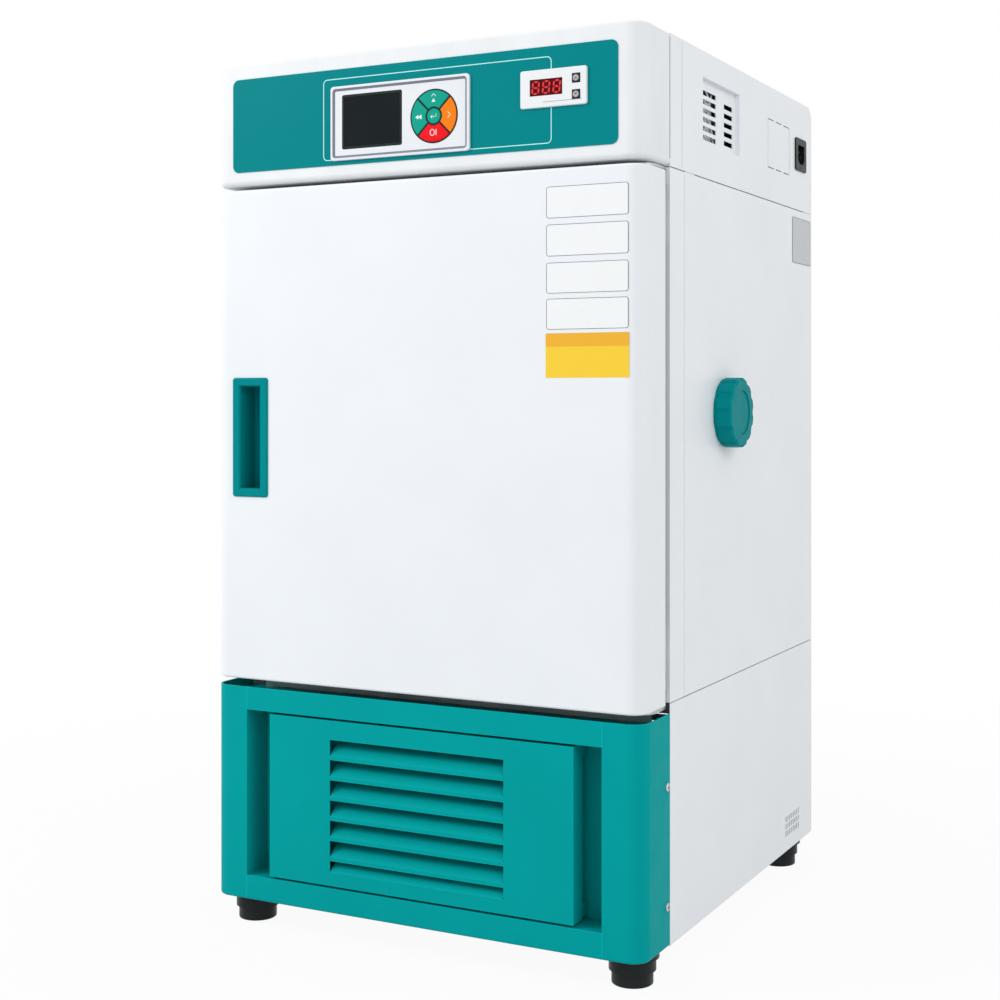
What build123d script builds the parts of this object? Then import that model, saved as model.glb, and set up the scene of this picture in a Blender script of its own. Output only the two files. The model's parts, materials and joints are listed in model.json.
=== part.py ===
from build123d import *
import math
import os

# Refrigerated laboratory incubator on levelling feet, as separate pieces. Lengths are millimetres.
# X runs to the right seen from the front, Y from the front to the back, and Z up from the floor.

# Overall sizes
WIDTH = 550.0
DEPTH = 600.0
FOOT_HEIGHT = 34.0
BASE_HEIGHT = 250.0
DOOR_HEIGHT = 576.0
CONSOLE_HEIGHT = 143.5
DOOR_GAP_BELOW = 9.0
DOOR_GAP_ABOVE = 5.0
BODY_DROP = 3.0
CORNER_RADIUS = 20.0
EDGE_ROUND = 3.0

# Sheet metal and running gaps
SHEET = 1.2
BASE_SHEET = 2.0
SEAM = 1.4
PANEL_GAP = 0.6
FIT_GAP = 0.3
BEARING_GAP = 0.15
REAR_FLANGE = 18.0
SEAM_RECESS = 3.0

# Door and the front strip of the cabinet behind it
DOOR_THICKNESS = 62.0
DOOR_STAND_OFF = 13.0
STRIP_DEPTH = 43.0
CONSOLE_STRIP_DEPTH = 36.0
GROOVE = 0.5
HINGE_INSET = 20.0
HINGE_FROM_BACK = 17.0
HINGE_PIN_RADIUS = 4.0
HINGE_PIN_ENGAGEMENT = 14.0
HINGE_LEAF = 3.0
HINGE_LEAF_RADIUS = 16.0
HINGE_LEAF_HEIGHT = 19.5
HINGE_BOSS_RADIUS = 11.0
HINGE_BOSS_DEPTH = 18.0
HINGE_LEAF_GAP = 1.0
GASKET_WIDTH = 15.0
GASKET_INSET = 17.0
DOOR_BULGE = 5.0
DOOR_BULGE_INSET = 62.0
DOOR_BULGE_CORNER = 14.0

# Handle cup
HANDLE_WIDTH = 50.0
HANDLE_HEIGHT = 140.0
HANDLE_LEFT = 27.6
HANDLE_BOTTOM = 214.7
HANDLE_PROUD = 2.5
HANDLE_RIM = 11.0
HANDLE_POCKET_HEIGHT = 120.0
HANDLE_DEPTH = 28.0
HANDLE_WALL = 2.2
HANDLE_CORNER = 3.5
HANDLE_BEVEL = 1.6

# Insulated chamber
SIDE_WALL = 55.0
FLOOR_WALL = 50.0
ROOF_WALL = 50.0
REAR_WALL = 55.0
LINER = 1.0
THROAT_STEP = 18.0
THROAT_DEPTH = 12.0

# Inner glass door
GLASS_THICKNESS = 5.0
GLASS_EDGE_GAP = 4.0
INNER_PIVOT_INSET = 0.5
INNER_PIVOT_PROUD = 4.0
INNER_KNUCKLE_RADIUS = 3.5
INNER_PIN_RADIUS = 2.0
SHOE_WIDTH = 34.0
SHOE_HEIGHT = 26.0
SHOE_SHEET = 3.0
INNER_BRACKET = 2.5
INNER_BRACKET_WIDTH = 12.0
INNER_BRACKET_DEPTH = 9.0
KNOB_RADIUS = 8.0
KNOB_LENGTH = 8.0
KNOB_INSET = 22.0

# Shelves and their rails
RAIL_WIDTH = 16.0
RAIL_DEPTH = 8.0
RAIL_MARGIN = 18.0
RAIL_FRONT = 62.0
RAIL_REAR = 322.0
RAIL_SLOT_PITCH = 30.0
RAIL_SLOT = 10.0
RAIL_SLOT_WIDTH = 7.0
CLIP_REACH = 10.0
CLIP_THICKNESS = 3.0
SHELF_HEIGHTS = (150.0, 310.0)
SHELF_FRAME_RADIUS = 3.0
SHELF_WIRE_RADIUS = 1.6
SHELF_WIRE_PITCH = 24.0
SHELF_SIDE_GAP = 2.0
SHELF_DEPTH = 352.0
SHELF_FRONT = 16.0
SHELF_CORNER = 12.0

# Rear air duct and what it covers
DUCT_DEPTH = 60.0
DUCT_GAP = 14.0
DUCT_SIDE_GAP = 1.0
DUCT_SHEET = 1.2
INTAKE_HEIGHT = 345.0
INTAKE_SLOTS = 9
INTAKE_SLOT_PITCH = 14.0
INTAKE_SLOT = 7.0
INTAKE_RADIUS = 64.0
OUTLET_SLOTS = 4
OUTLET_WIDTH = 150.0
OUTLET_SLOT = 7.0
OUTLET_PITCH = 15.0
OUTLET_HEIGHT = 40.0
CIRC_BLADE_RADIUS = 62.0
CIRC_HUB_RADIUS = 18.0
CIRC_HUB_LENGTH = 14.0
CIRC_FROM_DUCT = 9.0
CIRC_MOTOR_RADIUS = 30.0
CIRC_SHAFT_RADIUS = 3.0
EVAPORATOR_WIDTH = 300.0
EVAPORATOR_DEPTH = 34.0
EVAPORATOR_HEIGHT = 150.0
EVAPORATOR_LIFT = 90.0
EVAPORATOR_SLOTS = 18
EVAPORATOR_ROWS = 6
HEATER_RADIUS = 4.0
HEATER_WIDTH = 300.0
HEATER_LIFT = 18.0
HEATER_RISE = 34.0
HEATER_BEND = 12.0
HEATER_FROM_REAR = 30.0
PROBE_RADIUS = 3.0
PROBE_LENGTH = 46.0
PROBE_X = 130.0
PROBE_HEIGHT = 430.0
PROBE_NUT_RADIUS = 7.0
PROBE_NUT_LENGTH = 6.0

# Access port in the right wall
PORT_FROM_FRONT = 250.0
PORT_HEIGHT = 607.0
PORT_BORE_RADIUS = 20.0
PORT_WALL = 3.0
PORT_STUB = 14.0
PORT_FLANGE_RADIUS = 39.0
PORT_FLANGE = 3.0
CAP_RADIUS = 41.0
CAP_LENGTH = 18.7
CAP_FACE = 4.5
CAP_LOBES = 12
CAP_NOTCH_RADIUS = 7.5
CAP_NOTCH_DEPTH = 2.6
CAP_EDGE = 2.0
CAP_DISH_RADIUS = 26.0
CAP_DISH_DEPTH = 1.2
CAP_TRAVEL = 40.0

# Base frame and its louvred grille panel
POST_WIDTH = 47.0
TOP_RAIL_HEIGHT = 26.5
BOTTOM_RAIL_HEIGHT = 28.5
TROUGH_DEPTH = 12.0
RECESS_DEPTH = 42.0
GRILLE_WIDTH = 390.0
GRILLE_MARGIN = 3.0
GRILLE_DEPTH = 24.0
GRILLE_SHEET = 1.5
GRILLE_PEG = 14.0
GRILLE_TRAVEL = 60.0
LOUVRE_COUNT = 7
LOUVRE_WIDTH = 224.0
LOUVRE_PITCH = 23.1
LOUVRE_OPENING = 18.3
LOUVRE_FIRST_OPENING = 12.6
LOUVRE_LIFT = 16.0
LOUVRE_DEPTH = 21.5
LOUVRE_RISE = 13.4
LOUVRE_LEAN = 0.9
LOUVRE_END_GAP = 1.2
RECESS_WINDOW_MARGIN = 10.0
SCREW_HEAD_RADIUS = 4.6
SCREW_HEAD = 2.4
SCREW_RADIUS = 2.5
SCREW_LENGTH = 10.0
SCREW_FROM_BACK = 9.0
SCREW_HEIGHTS = (44.5, 173.0)

# Levelling feet
FOOT_INSET_X = 31.0
FOOT_INSET_FRONT = 45.0
FOOT_INSET_REAR = 50.0
FOOT_FLANGE_RADIUS = 29.0
FOOT_FLANGE = 5.0
FOOT_COLLAR_RADIUS = 25.5
FOOT_PAD_RADIUS = 22.5
FOOT_PAD_HEIGHT = 15.0
FOOT_ROUND = 1.5
STUD_RADIUS = 6.0
STUD_LENGTH = 26.0

# Machine compartment
PAN_LIP = 18.0
CONDENSER_WIDTH = 290.0
CONDENSER_DEPTH = 40.0
CONDENSER_HEIGHT = 190.0
CONDENSER_SLOTS = 26
CONDENSER_ROWS = 7
COIL_TUBE_RADIUS = 4.5
COIL_BEND_REACH = 11.0
COIL_END_PLATE = 1.5
COIL_CORE = 6.0
SHROUD_SHEET = 1.5
SHROUD_DEPTH = 34.0
SHROUD_WALL = 2.0
FAN_RADIUS = 80.0
FAN_TIP_GAP = 6.0
FAN_HUB_RADIUS = 24.0
FAN_HUB_LENGTH = 20.0
FAN_BLADES = 5
FAN_PITCH = 30.0
BLADE_SHEET = 1.6
MOTOR_RADIUS = 30.0
MOTOR_LENGTH = 44.0
SHAFT_RADIUS = 3.0
SHAFT_ENGAGEMENT = 12.0
MOTOR_GAP = 2.0
SPIDER_ARM = 10.0
COMPRESSOR_RADIUS = 78.0
COMPRESSOR_HEIGHT = 150.0
COMPRESSOR_DOME = 44.0
COMPRESSOR_BASE_ROUND = 24.0
COMPRESSOR_SEAM = 3.0
COMPRESSOR_FROM_REAR = 215.0
COMPRESSOR_FEET = 210.0
COMPRESSOR_FEET_DEPTH = 150.0
GROMMET_RADIUS = 12.0
GROMMET_HEIGHT = 16.0
TERMINAL_BOX = 50.0
PIPE_RADIUS = 4.0
PIPE_BEND = 18.0
RISER_FROM_COIL = 19.0
RISER_PITCH = 13.0
DRIER_RADIUS = 9.0
DRIER_LENGTH = 90.0

# Vents
LOWER_VENT_FROM_FRONT = 482.6
LOWER_VENT_BOTTOM = 18.0
LOWER_VENT_WIDTH = 62.0
LOWER_VENT_HEIGHT = 28.0
LOWER_VENT_COLUMNS = 8
LOWER_VENT_ROWS = 3
LOWER_VENT_SLOT = 4.0
REAR_VENT_WIDTH = 150.0
REAR_VENT_SLOT = 6.0
REAR_VENT_PITCH = 16.0
REAR_VENT_ROWS = 9
REAR_VENT_LIFT = 60.0
REAR_VENT_SPACING = 90.0

# Console
FASCIA_SHEET = 1.5
FASCIA_LIP_ROUND = 6.0
COVER_REAR_ROUND = 18.0
COVER_REAR_LIP = 38.0
COVER_FLANGE = 20.0
COVER_PAD = 30.0
PANEL_PROUD = 0.8
PANEL_SIDE_MARGIN = 28.0
PANEL_BOTTOM_MARGIN = 15.5
PANEL_HEIGHT = 109.5
PANEL_CORNER = 8.0
SIDE_VENT_FROM_FRONT = 177.0
SIDE_VENT_WIDTH = 126.0
SIDE_VENT_BOTTOM = 40.0
SIDE_VENT_HEIGHT = 74.0
SIDE_VENT_POCKET = 6.0
SIDE_VENT_MARGIN = 9.0
SIDE_VENT_SLOT = 5.8
WIDE_SLOT_LENGTH = 51.0
WIDE_SLOT_ROWS = 6
WIDE_SLOT_PITCH = 10.2
WIDE_SLOT_LIFT = 5.5
NARROW_SLOT_LENGTH = 30.0
NARROW_SLOT_ROWS = 5
NARROW_SLOT_PITCH = 10.8
NARROW_SLOT_LIFT = 8.2
KNOCKOUT_FROM_FRONT = 411.7
KNOCKOUT_WIDTH = 88.5
KNOCKOUT_BOTTOM = 41.0
KNOCKOUT_HEIGHT = 62.0
KNOCKOUT_SLITS = 3
KNOCKOUT_BRIDGE = 7.0
KNOCKOUT_CUT = 1.2
INLET_FROM_FRONT = 524.2
INLET_BOTTOM = 52.0
INLET_WIDTH = 46.0
INLET_HEIGHT = 43.0
INLET_FLANGE = 2.0
INLET_BODY_MARGIN = 4.0
INLET_SOCKET_MARGIN = 9.0
INLET_SOCKET_DEPTH = 17.0
INLET_BODY_DEPTH = 30.0
INLET_CORNER = 4.0
INLET_PIN_WIDTH = 2.0
INLET_PIN_HEIGHT = 4.0
INLET_PIN_LENGTH = 13.0
INLET_PIN_SPACING = 7.0
INLET_PIN_DROP = 4.0
BOARD_WIDTH = 170.0
BOARD_HEIGHT = 96.0
BOARD_THICKNESS = 1.6
BOARD_INSET = 46.0
BOARD_FROM_FRONT = 150.0
BOARD_STANDOFF = 8.0
BOARD_STANDOFF_RADIUS = 3.0

# Control module: bezel, display window and round keypad
BEZEL_WIDTH = 180.1
BEZEL_HEIGHT = 84.6
BEZEL_LEFT = 166.7
BEZEL_BOTTOM = 20.3
BEZEL_PROUD = 3.0
BEZEL_CORNER = 4.0
BEZEL_EDGE = 0.8
BEZEL_FRAME = 2.8
BEZEL_RECESS = 1.6
BEZEL_TAPER = 60.0
BEZEL_BODY_MARGIN = 5.0
BEZEL_BODY_DEPTH = 24.0
DISPLAY_WIDTH = 79.4
DISPLAY_HEIGHT = 62.0
DISPLAY_LEFT = 14.8
DISPLAY_BOTTOM = 12.3
DISPLAY_THICKNESS = 2.0
DISPLAY_SET = 0.4
DISPLAY_CORNER = 2.5
KEYPAD_RADIUS = 30.1
KEYPAD_LEFT = 135.2
KEYPAD_BOTTOM = 41.2
KEYPAD_RIM = 1.4
KEYPAD_RIB = 1.5
KEYPAD_RIB_SET = 0.2
KEY_CENTRE_RADIUS = 8.3
KEY_THICKNESS = 4.2
KEY_PROUD = 0.9
KEY_TRAVEL = 0.8
KEY_ROUND = 0.5
KEY_STEM_RADIUS = 2.0
KEY_STEM = 5.0

# Thermostat module
THERMO_WIDTH = 78.2
THERMO_HEIGHT = 40.6
THERMO_LEFT = 409.0
THERMO_BOTTOM = 59.8
THERMO_PROUD = 3.0
THERMO_CORNER = 2.5
THERMO_BODY_MARGIN = 4.0
THERMO_BODY_DEPTH = 44.0
THERMO_WINDOW_WIDTH = 38.6
THERMO_WINDOW_HEIGHT = 17.8
THERMO_WINDOW_LEFT = 11.5
THERMO_WINDOW_TOP = 10.3
THERMO_WINDOW_DEPTH = 1.0
THERMO_KEY_WIDTH = 9.2
THERMO_KEY_HEIGHT = 9.8
THERMO_KEY_LEFT = 61.6
THERMO_KEY_TOPS = (7.5, 24.8)
THERMO_KEY_THICKNESS = 3.2
THERMO_KEY_PROUD = 0.7

# Planes of the cabinet
FRONT = -DEPTH / 2
BACK = DEPTH / 2
SIDE = WIDTH / 2
DOOR_BACK = FRONT + DOOR_THICKNESS
BODY_FRONT = DOOR_BACK + DOOR_STAND_OFF
STRIP_BACK = BODY_FRONT + STRIP_DEPTH
BASE_BOTTOM = FOOT_HEIGHT
BASE_TOP = BASE_BOTTOM + BASE_HEIGHT
DOOR_BOTTOM = BASE_TOP + DOOR_GAP_BELOW
DOOR_TOP = DOOR_BOTTOM + DOOR_HEIGHT
CONSOLE_BOTTOM = DOOR_TOP + DOOR_GAP_ABOVE
TOP = CONSOLE_BOTTOM + CONSOLE_HEIGHT
BODY_BOTTOM = DOOR_BOTTOM + BODY_DROP
BODY_TOP = CONSOLE_BOTTOM - SEAM
LOWER_TOP = BODY_BOTTOM - SEAM
PAN_TOP = BASE_BOTTOM + BASE_SHEET
REAR_INSIDE = BACK - SHEET
PANEL_FRONT = FRONT - PANEL_PROUD

# Planes of the chamber
CHAMBER_SIDE = SIDE - SIDE_WALL
CHAMBER_BOTTOM = BODY_BOTTOM + FLOOR_WALL
CHAMBER_TOP = BODY_TOP - ROOF_WALL
CHAMBER_REAR = BACK - REAR_WALL
LEDGE = BODY_FRONT + THROAT_DEPTH
THROAT_SIDE = CHAMBER_SIDE + THROAT_STEP
THROAT_BOTTOM = CHAMBER_BOTTOM - THROAT_STEP
THROAT_TOP = CHAMBER_TOP + THROAT_STEP
DUCT_FRONT = CHAMBER_REAR - DUCT_DEPTH
FAN_HEIGHT = CHAMBER_BOTTOM + INTAKE_HEIGHT

# Axes of what moves
HINGE_X = SIDE - HINGE_INSET
HINGE_Y = DOOR_BACK - HINGE_FROM_BACK
GLASS_BACK = LEDGE - FIT_GAP
GLASS_FRONT = GLASS_BACK - GLASS_THICKNESS
GLASS_SIDE = THROAT_SIDE - GLASS_EDGE_GAP
GLASS_BOTTOM = THROAT_BOTTOM + GLASS_EDGE_GAP
GLASS_TOP = THROAT_TOP - GLASS_EDGE_GAP
INNER_PIVOT_X = GLASS_SIDE - INNER_PIVOT_INSET
INNER_PIVOT_Y = GLASS_FRONT - INNER_PIVOT_PROUD
PORT_Y = FRONT + PORT_FROM_FRONT
CONDENSER_FRONT = BODY_FRONT + BASE_SHEET + PANEL_GAP
CONDENSER_BACK = CONDENSER_FRONT + CONDENSER_DEPTH
FAN_AXIS_Z = PAN_TOP + CONDENSER_HEIGHT / 2
FOOT_X = SIDE - FOOT_INSET_X
FOOT_FRONT_Y = FRONT + FOOT_INSET_FRONT
FOOT_REAR_Y = BACK - FOOT_INSET_REAR
KEYPAD_X = -SIDE + BEZEL_LEFT + KEYPAD_LEFT
KEYPAD_Z = CONSOLE_BOTTOM + BEZEL_BOTTOM + KEYPAD_BOTTOM
BEZEL_FRONT = PANEL_FRONT - BEZEL_PROUD
BEZEL_PLATE = BEZEL_FRONT + BEZEL_RECESS
THERMO_FRONT = PANEL_FRONT - THERMO_PROUD
THERMO_X = -SIDE + THERMO_LEFT
THERMO_TOP = CONSOLE_BOTTOM + THERMO_BOTTOM + THERMO_HEIGHT
KEY_BACK = BEZEL_PLATE - KEY_PROUD + KEY_THICKNESS
WELL_FLOOR = KEY_BACK + KEY_TRAVEL + FIT_GAP
KEY_CENTRE_OUTER = KEY_CENTRE_RADIUS + FIT_GAP + KEYPAD_RIB
KEY_ANGLES = (None, 0, 90, 180, 270)

# Centre of the whole object's box, which becomes the origin
CAP_REACH = SIDE + PORT_FLANGE + FIT_GAP + CAP_LENGTH
ORIGIN_X = (CAP_REACH - SIDE) / 2
FOREMOST = min(BEZEL_FRONT, THERMO_FRONT - THERMO_KEY_PROUD, FRONT - HANDLE_PROUD)
ORIGIN_Y = (BACK + FOREMOST) / 2

MARGIN = 5.0


def block(x0, x1, y0, y1, z0, z1):
    """Box between six planes."""
    centre = Pos((x0 + x1) / 2, (y0 + y1) / 2, (z0 + z1) / 2)
    return centre * Box(x1 - x0, y1 - y0, z1 - z0)


def rod(start, end, radius):
    """Cylinder from one point to another."""
    first = Vector(*start)
    run = Vector(*end) - first
    plane = Plane(origin=first, z_dir=run)
    base = Cylinder(radius, run.length, align=(Align.CENTER, Align.CENTER, Align.MIN))
    return plane * base


def pipe(points, radius, bend):
    """Round bar along straight runs joined by arcs."""
    path = FilletPolyline(*points, radius=bend)
    section = Plane(origin=path @ 0, z_dir=path % 0) * Circle(radius)
    return sweep(section, path=path)


def fuse(pieces):
    """One solid from overlapping pieces."""
    result = pieces[0]
    for piece in pieces[1:]:
        result = result + piece
    return result


def cut(body, tools):
    """The body with each tool taken out."""
    return body - tools if tools else body


def round_upright(body, radius, faces_back=False):
    """Round the two upright edges of the front, or of the back."""
    uprights = body.edges().filter_by(Axis.Z).group_by(Axis.Y)
    return fillet(uprights[-1 if faces_back else 0], radius)


def moulding(half, y0, y1, z0, z1, radius):
    """Box whose upright front corners are round."""
    return round_upright(block(-half, half, y0, y1, z0, z1), radius)


def shell_moulding(y1, z0, z1, wall, low_round=EDGE_ROUND):
    """Hollow moulding with round front corners, open at the back."""
    outer = moulding(SIDE, FRONT, y1, z0, z1, CORNER_RADIUS)
    for index, radius in ((-1, EDGE_ROUND), (0, low_round)):
        edges = outer.faces().sort_by(Axis.Z)[index].edges()
        outer = fillet(edges.filter_by(lambda e: e.center().Y < y1 - wall / 2), radius)
    inner = moulding(SIDE - wall, FRONT + wall, y1 + MARGIN, z0 + wall, z1 - wall, CORNER_RADIUS - wall)
    if low_round > EDGE_ROUND:
        edges = inner.faces().sort_by(Axis.Z)[0].edges()
        inner = fillet(edges.filter_by(lambda e: e.center().Y < y1), low_round - wall)
    return outer - inner


def corner_plate(width, depth, height, radius):
    """Plate in the XZ plane with rounded corners, from y = 0 to y = depth, centred in X and Z."""
    sketch = Plane.XZ * RectangleRounded(width, height, radius)
    return extrude(sketch, amount=-depth)


def base_post():
    """Left post of the base frame: bent sheet with a round outer corner and a closed foot."""
    left = -SIDE
    right = left + POST_WIDTH
    outer = block(left, right, FRONT, BODY_FRONT, BASE_BOTTOM, BASE_TOP)
    corner = outer.edges().filter_by(Axis.Z).sort_by(lambda e: e.center().X + e.center().Y)[0]
    outer = fillet(corner, CORNER_RADIUS)
    edges = outer.faces().sort_by(Axis.Z)[0].edges().filter_by(lambda e: e.center().X < right - EDGE_ROUND)
    outer = fillet(edges.filter_by(lambda e: e.center().Y < BODY_FRONT - EDGE_ROUND), EDGE_ROUND)
    wall = BASE_SHEET
    inner = block(left + wall, right - wall, FRONT + wall, BODY_FRONT + MARGIN, PAN_TOP, BASE_TOP + MARGIN)
    corner = inner.edges().filter_by(Axis.Z).sort_by(lambda e: e.center().X + e.center().Y)[0]
    inner = fillet(corner, CORNER_RADIUS - wall)
    web_top = BASE_TOP - TROUGH_DEPTH
    web = block(left + wall, right, FRONT + wall, BODY_FRONT, web_top - wall, web_top)
    corner = web.edges().filter_by(Axis.Z).sort_by(lambda e: e.center().X + e.center().Y)[0]
    web = fillet(corner, CORNER_RADIUS - wall)
    open_side = block(right - wall - MARGIN, right + MARGIN, FRONT + wall, BODY_FRONT + MARGIN,
                      web_top, BASE_TOP + MARGIN)
    stud = rod((-FOOT_X, FOOT_FRONT_Y, 0), (-FOOT_X, FOOT_FRONT_Y, PAN_TOP + MARGIN), STUD_RADIUS + FIT_GAP)
    holes = [side_screw_hole(height) for height in SCREW_HEIGHTS]
    return cut(outer - inner + web - open_side, [stud] + holes)


def side_screw_hole(height):
    """Hole for a frame screw in the left side of the base frame."""
    y = BODY_FRONT - SCREW_FROM_BACK
    z = BASE_BOTTOM + height
    return rod((-SIDE - MARGIN, y, z), (-SIDE + BASE_SHEET + MARGIN, y, z), SCREW_RADIUS + FIT_GAP)


def base_top_rail():
    """Top rail: front face, lintel over the recess, and the web of the trough under the door."""
    half = SIDE - POST_WIDTH
    low = BASE_TOP - TOP_RAIL_HEIGHT
    web_top = BASE_TOP - TROUGH_DEPTH
    face = block(-half, half, FRONT, FRONT + BASE_SHEET, low, BASE_TOP)
    lintel = block(-half, half, FRONT, FRONT + RECESS_DEPTH, low, low + BASE_SHEET)
    web = block(-half, half, FRONT, BODY_FRONT, web_top - BASE_SHEET, web_top)
    return fuse([face, lintel, web])


def base_bottom_rail():
    """Bottom rail: front face, sill of the recess and bottom flange."""
    half = SIDE - POST_WIDTH
    high = BASE_BOTTOM + BOTTOM_RAIL_HEIGHT
    face = block(-half, half, FRONT, FRONT + BASE_SHEET, BASE_BOTTOM, high)
    sill = block(-half, half, FRONT, FRONT + RECESS_DEPTH, high - BASE_SHEET, high)
    flange = block(-half, half, FRONT, BODY_FRONT, BASE_BOTTOM, PAN_TOP)
    rail = fuse([face, sill, flange])
    edge = rail.faces().sort_by(Axis.Y)[0].edges().sort_by(Axis.Z)[0]
    return fillet(edge, EDGE_ROUND)


def louvre_top(index):
    """Height of a louvre opening's upper edge; the lowest opening is the short one."""
    start = BASE_BOTTOM + BOTTOM_RAIL_HEIGHT + GRILLE_MARGIN + LOUVRE_LIFT
    return start + LOUVRE_FIRST_OPENING + index * LOUVRE_PITCH


def louvre_low(index):
    """Height of a louvre opening's lower edge."""
    return louvre_top(index) - (LOUVRE_OPENING if index else LOUVRE_FIRST_OPENING)


def recess_plate():
    """Back of the recess, with a window that lets air through to the condenser."""
    half = SIDE - POST_WIDTH
    low = BASE_BOTTOM + BOTTOM_RAIL_HEIGHT - BASE_SHEET
    high = BASE_TOP - TOP_RAIL_HEIGHT + BASE_SHEET
    back = FRONT + RECESS_DEPTH
    plate = block(-half, half, back, back + BASE_SHEET, low, high)
    side = LOUVRE_WIDTH / 2 + RECESS_WINDOW_MARGIN
    window_low = louvre_low(0) - RECESS_WINDOW_MARGIN / 2
    window_high = louvre_top(LOUVRE_COUNT - 1) + RECESS_WINDOW_MARGIN / 2
    return plate - block(-side, side, back - MARGIN, back + MARGIN, window_low, window_high)


def louvre_blade(index):
    """Lanced blade that leaves the sheet at the opening's lower edge and curves up and back."""
    low = louvre_low(index)
    rise = LOUVRE_RISE if index else LOUVRE_RISE * LOUVRE_FIRST_OPENING / LOUVRE_OPENING
    back = FRONT + LOUVRE_DEPTH * rise / LOUVRE_RISE
    lean = (LOUVRE_LEAN, 1)
    heel = (FRONT + GRILLE_SHEET, low - GRILLE_SHEET)
    with BuildPart() as blade:
        with BuildSketch(Plane.YZ):
            with BuildLine():
                TangentArc((FRONT, low), (back, low + rise), tangent=lean)
                Line((back, low + rise), (back, low + rise - GRILLE_SHEET))
                TangentArc(heel, (back, low + rise - GRILLE_SHEET), tangent=lean)
                Line(heel, (FRONT, low))
            make_face()
        extrude(amount=LOUVRE_WIDTH / 2 - LOUVRE_END_GAP, both=True)
    return blade.part


def grille_panel():
    """Flanged tray with lanced louvres and four pegs that seat on the recess plate."""
    low = BASE_BOTTOM + BOTTOM_RAIL_HEIGHT + GRILLE_MARGIN
    high = BASE_TOP - TOP_RAIL_HEIGHT - GRILLE_MARGIN
    half = GRILLE_WIDTH / 2
    wall = GRILLE_SHEET
    tray = block(-half, half, FRONT, FRONT + GRILLE_DEPTH, low, high)
    inside = block(-half + wall, half - wall, FRONT + wall, FRONT + GRILLE_DEPTH + MARGIN,
                   low + wall, high - wall)
    openings = []
    for index in range(LOUVRE_COUNT):
        openings.append(block(-LOUVRE_WIDTH / 2, LOUVRE_WIDTH / 2, FRONT - MARGIN, FRONT + wall + MARGIN,
                              louvre_low(index), louvre_top(index)))
    sheet = cut(tray - inside, openings)
    blades = [louvre_blade(index) for index in range(LOUVRE_COUNT)]
    pegs = []
    peg_back = FRONT + RECESS_DEPTH - FIT_GAP
    for x in (-half + wall, half - wall - GRILLE_PEG):
        for z in (low + wall, high - wall - GRILLE_PEG):
            pegs.append(block(x, x + GRILLE_PEG, FRONT + wall, peg_back, z, z + GRILLE_PEG))
    return fuse([sheet] + blades + pegs)


def frame_screws():
    """Four pan-head screws that hold the base frame to the cabinet, two on each side."""
    screws = []
    y = BODY_FRONT - SCREW_FROM_BACK
    for side in (-1, 1):
        for height in SCREW_HEIGHTS:
            z = BASE_BOTTOM + height
            tip = (side * (SIDE - SCREW_LENGTH), y, z)
            seat = (side * SIDE, y, z)
            crown = (side * (SIDE + SCREW_HEAD), y, z)
            head = rod(seat, crown, SCREW_HEAD_RADIUS)
            rim = head.faces().sort_by(Axis.X)[-1 if side > 0 else 0].edges()
            head = fillet(rim, SCREW_HEAD * 0.6)
            screws.append(head + rod(tip, seat, SCREW_RADIUS))
    return screws


def foot(x, y):
    """Levelling foot with its flange, collar, pad and stud."""
    flange_top = FOOT_HEIGHT - FIT_GAP
    flange_low = flange_top - FOOT_FLANGE
    pad = Cylinder(FOOT_PAD_RADIUS, FOOT_PAD_HEIGHT, align=(Align.CENTER, Align.CENTER, Align.MIN))
    pad = fillet(pad.edges().filter_by(GeomType.CIRCLE).sort_by(Axis.Z)[0], FOOT_ROUND)
    collar = rod((0, 0, FOOT_PAD_HEIGHT), (0, 0, flange_low), FOOT_COLLAR_RADIUS)
    flange = rod((0, 0, flange_low), (0, 0, flange_top), FOOT_FLANGE_RADIUS)
    stud = rod((0, 0, flange_top), (0, 0, flange_top + STUD_LENGTH), STUD_RADIUS)
    return Pos(x, y, 0) * fuse([pad, collar, flange, stud])


def base_pan():
    """Floor of the machine compartment with turned-up front and back lips."""
    half = SIDE - SHEET
    floor = block(-half, half, BODY_FRONT, REAR_INSIDE, BASE_BOTTOM, PAN_TOP)
    front_lip = block(-half + PAN_LIP, half - PAN_LIP, BODY_FRONT, BODY_FRONT + BASE_SHEET,
                      BASE_BOTTOM, PAN_TOP + PAN_LIP)
    rear_lip = block(-half + PAN_LIP, half - PAN_LIP, REAR_INSIDE - BASE_SHEET, REAR_INSIDE,
                     BASE_BOTTOM, PAN_TOP + PAN_LIP)
    studs = []
    for x in (-FOOT_X, FOOT_X):
        studs.append(rod((x, FOOT_REAR_Y, 0), (x, FOOT_REAR_Y, PAN_TOP + MARGIN), STUD_RADIUS + FIT_GAP))
    return cut(fuse([floor, front_lip, rear_lip]), studs)


def lower_side(side):
    """Side panel of the machine compartment, with a slotted vent on the right."""
    front = BODY_FRONT + PANEL_GAP
    panel = block(SIDE - SHEET, SIDE, front, BACK, BASE_BOTTOM, LOWER_TOP)
    top_flange = block(SIDE - REAR_FLANGE, SIDE, front, BACK, LOWER_TOP - SHEET, LOWER_TOP)
    rear_flange = block(SIDE - REAR_FLANGE, SIDE, REAR_INSIDE - SHEET, REAR_INSIDE, PAN_TOP, LOWER_TOP)
    top_flange = top_flange - block(0, SIDE - SHEET, REAR_INSIDE, BACK + MARGIN, 0, TOP)
    panel = fuse([panel, top_flange, rear_flange])
    if side > 0:
        return cut(panel, lower_vent_slots())
    return mirror(panel, about=Plane.YZ)


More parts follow.
